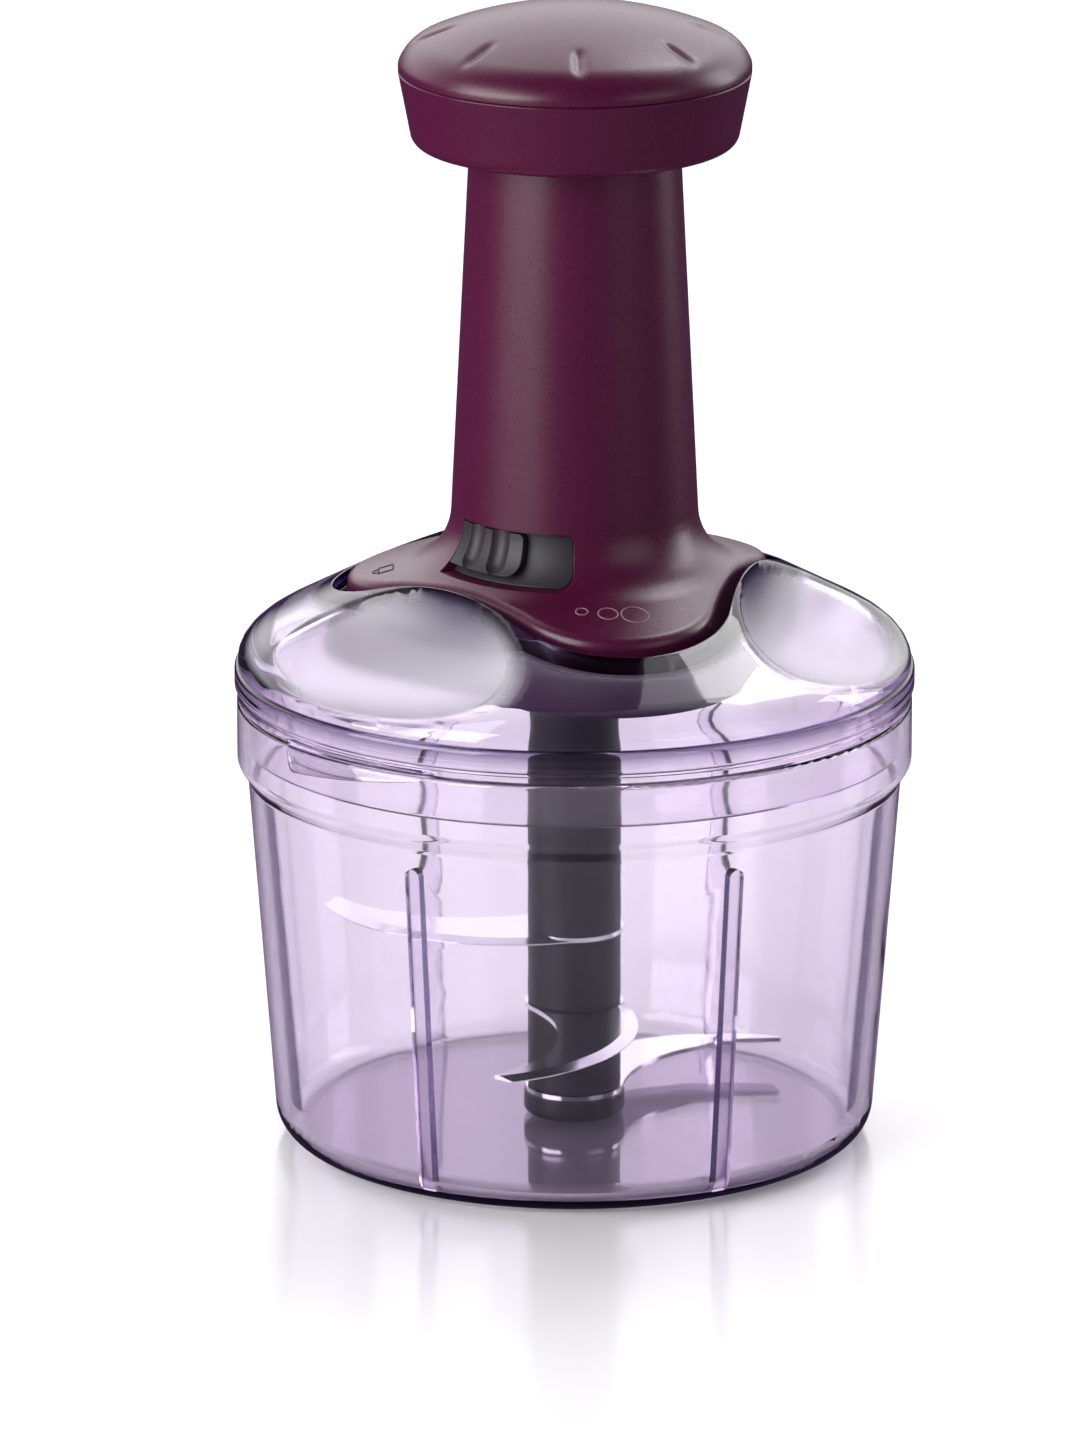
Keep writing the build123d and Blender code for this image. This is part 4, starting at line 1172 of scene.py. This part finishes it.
@dataclass
class PressCap(SubAssembly):
    """Press cap: soft dome with pressed creases on a plain skirt, over the plunger."""

    cap_radius_mm: float = 38.5
    crown_radius_mm: float = 33.0
    crown_drop_mm: float = 6.7
    top_height_mm: float = 254.5
    edge_height_mm: float = 242.0
    seam_height_mm: float = 240.6
    wall_mm: float = 2.5
    crease_count: int = 8
    crease_azimuth: float = 271.7
    crease_place_mm: float = 30.3
    crease_length_mm: float = 4.3
    crease_width_mm: float = 1.25
    crease_depth_mm: float = 0.85
    crease_end_power: float = 4.0
    columns: int = 385
    rows: int = 101
    outer_share: float = 0.8
    merge_mm: float = 0.001
    sharp_angle: float = 40.0

    finishes = {
        "cap_skirt": Finish.PLUM,
        "cap_screws": Finish.DRAWN,
        "plunger_tube": Finish.GRAPHITE,
    }

    def arcs(self) -> tuple[float, float, float, float]:
        """Work out the two arcs of the dome's section.

        Returns:
            Radius and turn of the crown's arc, then of the edge's arc, in metres and radians.
        """
        crown = (self.crown_radius_mm**2 + self.crown_drop_mm**2) / (2 * self.crown_drop_mm)
        crown_turn = math.asin(self.crown_radius_mm / crown)
        across = self.cap_radius_mm - self.crown_radius_mm
        down = self.top_height_mm - self.crown_drop_mm - self.edge_height_mm
        edge_turn = 2 * (math.atan2(down, across) - crown_turn)
        edge = math.hypot(across, down) / (2 * math.sin(edge_turn / 2))
        return crown * MM, crown_turn, edge * MM, edge_turn

    def section(self, recipe: Recipe, share: Socket) -> tuple[Socket, Socket]:
        """Walk along the dome's section from its top to the seam.

        Args:
            recipe: Tree of the dome.
            share: Share of the way, from 0 at the top to 1 at the seam.

        Returns:
            The radius and the height there.
        """
        crown, crown_turn, edge, edge_turn = self.arcs()
        straight = (self.edge_height_mm - self.seam_height_mm) * MM
        crown_length = crown * crown_turn
        edge_length = edge * edge_turn
        crown_radius = recipe.size("Crown arc radius", crown)
        edge_radius = recipe.size("Edge arc radius", edge)
        turned = recipe.size("Crown arc turn", crown_turn)
        way = recipe.math("MULTIPLY", share, crown_length + edge_length + straight)
        on_crown = recipe.math("DIVIDE", recipe.math("MINIMUM", way, crown_length), crown_radius)
        past = recipe.math("MAXIMUM", recipe.math("SUBTRACT", way, crown_length), 0.0)
        on_edge = recipe.math("DIVIDE", recipe.math("MINIMUM", past, edge_length), edge_radius)
        on_edge = recipe.math("ADD", turned, on_edge)
        below = recipe.math("MAXIMUM", recipe.math("SUBTRACT", past, edge_length), 0.0)
        reach = recipe.math("SUBTRACT", recipe.math("SINE", on_edge), recipe.math("SINE", turned))
        radius = recipe.math("MULTIPLY", crown_radius, recipe.math("SINE", on_crown))
        radius = recipe.math("MULTIPLY_ADD", edge_radius, reach, radius)
        fall = recipe.math("SUBTRACT", 1.0, recipe.math("COSINE", on_crown))
        drop = recipe.math("SUBTRACT", recipe.math("COSINE", turned), recipe.math("COSINE", on_edge))
        drop = recipe.math("MULTIPLY_ADD", edge_radius, drop, below)
        drop = recipe.math("MULTIPLY_ADD", crown_radius, fall, drop)
        top = recipe.size("Top height", self.top_height_mm * MM)
        return radius, recipe.math("SUBTRACT", top, drop)

    def creases(self, recipe: Recipe, radius: Socket, azimuth: Socket) -> Socket:
        """Press creases into the crown, each lying along a radius.

        Args:
            recipe: Tree of the dome.
            radius: Distance of each point from the axis.
            azimuth: Angle of each point about it.

        Returns:
            The socket with the depth of the creases.
        """
        count = recipe.size("Crease count", self.crease_count)
        pitch = recipe.math("DIVIDE", TURN, count)
        first = recipe.size("Crease azimuth", math.radians(self.crease_azimuth))
        past = recipe.math("SUBTRACT", azimuth, first)
        nearest = recipe.math("ROUND", recipe.math("DIVIDE", past, pitch))
        past = recipe.math("SUBTRACT", past, recipe.math("MULTIPLY", nearest, pitch))
        across = recipe.math("MULTIPLY", past, radius)
        across = recipe.math("DIVIDE", across, recipe.size("Crease width", self.crease_width_mm * MM))
        place = recipe.size("Crease place", self.crease_place_mm * MM)
        along = recipe.math("SUBTRACT", radius, place)
        along = recipe.math("DIVIDE", along, recipe.size("Crease length", self.crease_length_mm * MM))
        ends = recipe.math("POWER", along, self.crease_end_power)
        fading = recipe.math("ADD", recipe.math("POWER", across, 2.0), ends)
        share = recipe.math("EXPONENT", recipe.math("MULTIPLY", fading, -1.0))
        return recipe.math("MULTIPLY", share, recipe.size("Crease depth", self.crease_depth_mm * MM))

    def dome(self) -> bpy.types.Object:
        """Make the dome as one closed shell.

        Returns:
            The new piece, at the origin.
        """
        recipe = Recipe("press_dome")
        inputs = {
            "Size X": 1.0,
            "Size Y": 1.0,
            "Vertices X": recipe.size("Columns", self.columns),
            "Vertices Y": recipe.size("Rows", self.rows),
        }
        grid = recipe.add("GeometryNodeMeshGrid", inputs).outputs[0]
        x, y, _ = recipe.position()
        azimuth = recipe.math("MULTIPLY", recipe.math("ADD", x, 0.5), -TURN)
        row = recipe.math("ADD", y, 0.5)
        outer = recipe.size("Outer share", self.outer_share)
        going = recipe.math("DIVIDE", row, outer)
        coming = recipe.math("SUBTRACT", 1.0, row)
        coming = recipe.math("DIVIDE", coming, recipe.math("SUBTRACT", 1.0, outer))
        radius, height = self.section(recipe, recipe.math("MINIMUM", going, coming))
        half_row = 0.5 / (self.rows - 1)
        inside = recipe.math("GREATER_THAN", row, recipe.math("ADD", outer, half_row))
        outside = recipe.math("SUBTRACT", 1.0, inside)
        depth = recipe.math("MULTIPLY", self.creases(recipe, radius, azimuth), outside)
        wall = recipe.size("Wall", self.wall_mm * MM)
        seam = recipe.size("Seam height", self.seam_height_mm * MM)
        sunk = recipe.math("MINIMUM", recipe.math("SUBTRACT", height, seam), wall)
        depth = recipe.math("MULTIPLY_ADD", sunk, inside, depth)
        height = recipe.math("SUBTRACT", height, depth)
        cap = recipe.size("Cap radius", self.cap_radius_mm * MM)
        inset = recipe.math("MULTIPLY", recipe.math("DIVIDE", wall, cap), inside)
        radius = recipe.math("MULTIPLY", radius, recipe.math("SUBTRACT", 1.0, inset))
        shell = recipe.move(grid, recipe.around(radius, azimuth, height))
        inputs = {"Geometry": shell, "Distance": self.merge_mm * MM}
        closed = recipe.add("GeometryNodeMergeByDistance", inputs)
        return recipe.piece("press_dome", closed.outputs[0], Finish.PLUM, self.sharp_angle)

    def build(self) -> None:
        """Dress the cap and put the soft dome in the plain one's place."""
        self.dress()
        keep(self.dome(), "handle", "plum_plastic", "cap_dome")


@dataclass(frozen=True)
class Softbox:
    """Soft light at a place in metres, which faces a point."""

    name: str
    place: Place
    size: tuple[float, float]
    watts: float
    aim: Place = (0.0, 0.0, 0.14)

    def hang(self) -> None:
        """Hang the light where the camera doesn't see it."""
        data = bpy.data.lights.new(self.name, "AREA")
        data.shape = "RECTANGLE"
        data.size, data.size_y = self.size
        data.energy = self.watts
        light = bpy.data.objects.new(self.name, data)
        light.location = self.place
        way = Vector(self.aim) - Vector(self.place)
        light.rotation_euler = way.to_track_quat("-Z", "Y").to_euler()
        light.visible_camera = False
        bpy.context.scene.collection.objects.link(light)


@dataclass
class Studio:
    """Pale floor, soft lights and the camera at the photograph's angle."""

    camera_back_m: float = 2.3
    camera_height_m: float = 0.75
    camera_pitch: float = 15.93
    focal_pixels: float = 10830.0
    axis_pixels: float = 34.5
    long_side_pixels: float = 1440.0
    sensor_mm: float = 36.0
    floor_radius_m: float = 7.0
    floor_sides: int = 96
    floor_gap_m: float = 0.0003
    floor_glow: float = 0.18
    floor_glow_m: tuple[float, float] = (0.12, -0.25)
    floor_tones: tuple[Colour, Colour] = ((0.77, 0.77, 0.77), (0.80, 0.80, 0.80))
    floor_cloud_mm: float = 220.0
    floor_polish: tuple[float, float] = (0.10, 0.16)
    side_light: Colour = (0.050, 0.032, 0.075)
    back_light: float = 2.0
    back_fade: tuple[float, float] = (0.0, 0.7)
    height_fade: tuple[float, float] = (-0.05, 0.25)
    light_bounces: int = 20
    lights: tuple[Softbox, ...] = (
        Softbox("key", (-1.12, -0.78, 0.6), (1.3, 1.0), 28.0),
        Softbox("top", (0.0, 1.3, 1.9), (3.0, 1.6), 4.5, aim=(0.0, 0.2, 0.1)),
        Softbox("fill", (1.2, -0.9, 0.6), (1.0, 1.0), 3.0),
        Softbox("sheen", (0.8, 1.1, 1.9), (0.9, 0.7), 10.0),
        Softbox("rim", (1.15, 0.5, 0.5), (0.4, 0.9), 5.0),
    )

    def camera(self) -> None:
        """Set the camera where the photograph was taken from."""
        data = bpy.data.cameras.new("camera")
        data.sensor_width = self.sensor_mm
        data.lens = self.focal_pixels / self.long_side_pixels * self.sensor_mm
        pitch = math.radians(self.camera_pitch)
        yaw = math.atan(self.axis_pixels / self.focal_pixels / math.cos(pitch))
        camera = bpy.data.objects.new("camera", data)
        camera.location = (0, -self.camera_back_m, self.camera_height_m)
        camera.rotation_euler = (TURN / 4 - pitch, 0, yaw)
        bpy.context.scene.collection.objects.link(camera)
        bpy.context.scene.camera = camera

    def floor(self) -> None:
        """Lay a large pale floor with a soft gloss, lit up in front of the object."""
        rim = [
            (self.floor_radius_m * math.cos(TURN * i / self.floor_sides),
             self.floor_radius_m * math.sin(TURN * i / self.floor_sides), -self.floor_gap_m)
            for i in range(self.floor_sides)
        ]
        mesh = bpy.data.meshes.new("floor")
        mesh.from_pydata(rim, [], [list(range(self.floor_sides))])
        shade = Shader("pale_floor", Emission_Color=(*WHITE, 1))
        ahead = shade.add("ShaderNodeSeparateXYZ", {0: shade.place}).outputs[1]
        start, end = self.floor_glow_m
        inputs = {0: ahead, 1: start, 2: end, 3: 0.0, 4: self.floor_glow}
        glow = shade.add("ShaderNodeMapRange", inputs, interpolation_type="SMOOTHSTEP").outputs[0]
        shade.feed("Emission Strength", glow)
        clouds = shade.noise(self.floor_cloud_mm)
        shade.feed("Base Color", shade.blend(clouds, *self.floor_tones))
        shade.feed("Roughness", shade.spread(clouds, *self.floor_polish))
        mesh.materials.append(shade.material)
        floor = bpy.data.objects.new("floor", mesh)
        bpy.context.scene.collection.objects.link(floor)
        floor.visible_glossy = False

    def world(self) -> None:
        """Surround the stage: bright white high behind it, dim violet on the other sides."""
        world = bpy.data.worlds.new("white")
        world.use_nodes = True
        graph = Graph(world.node_tree)
        way = graph.add("ShaderNodeTexCoord").outputs["Generated"]
        parts = graph.add("ShaderNodeSeparateXYZ", {0: way}).outputs
        start, end = self.back_fade
        inputs = {0: parts[1], 1: start, 2: end, 3: 0.0, 4: 1.0}
        behind = graph.add("ShaderNodeMapRange", inputs, interpolation_type="SMOOTHSTEP").outputs[0]
        start, end = self.height_fade
        inputs = {0: parts[2], 1: start, 2: end, 3: 0.0, 4: self.back_light}
        above = graph.add("ShaderNodeMapRange", inputs, interpolation_type="SMOOTHSTEP").outputs[0]
        seen = graph.add("ShaderNodeLightPath").outputs["Is Camera Ray"]
        lit = graph.math("MAXIMUM", graph.math("MULTIPLY", behind, above), seen)
        parts = [graph.math("ADD", lit, part) for part in self.side_light]
        colour = graph.add("ShaderNodeCombineXYZ", dict(enumerate(parts))).outputs[0]
        world.node_tree.links.new(colour, world.node_tree.nodes["Background"].inputs["Color"])
        bpy.context.scene.world = world

    def build(self) -> None:
        """Set up the whole studio."""
        scene = bpy.context.scene
        scene.view_settings.view_transform = "Standard"
        scene.cycles.max_bounces = self.light_bounces
        scene.cycles.transmission_bounces = self.light_bounces
        self.camera()
        self.floor()
        self.world()
        for light in self.lights:
            light.hang()


def main() -> None:
    """Build the studio and each sub-assembly in order."""
    logging.basicConfig(level=logging.INFO, format="%(message)s")
    Studio().build()
    for part in (Bowl(), Lid(), BladeStack(), Drive(), Lock(), Tower(), PressCap()):
        part.build()


if __name__ == "__main__":
    main()
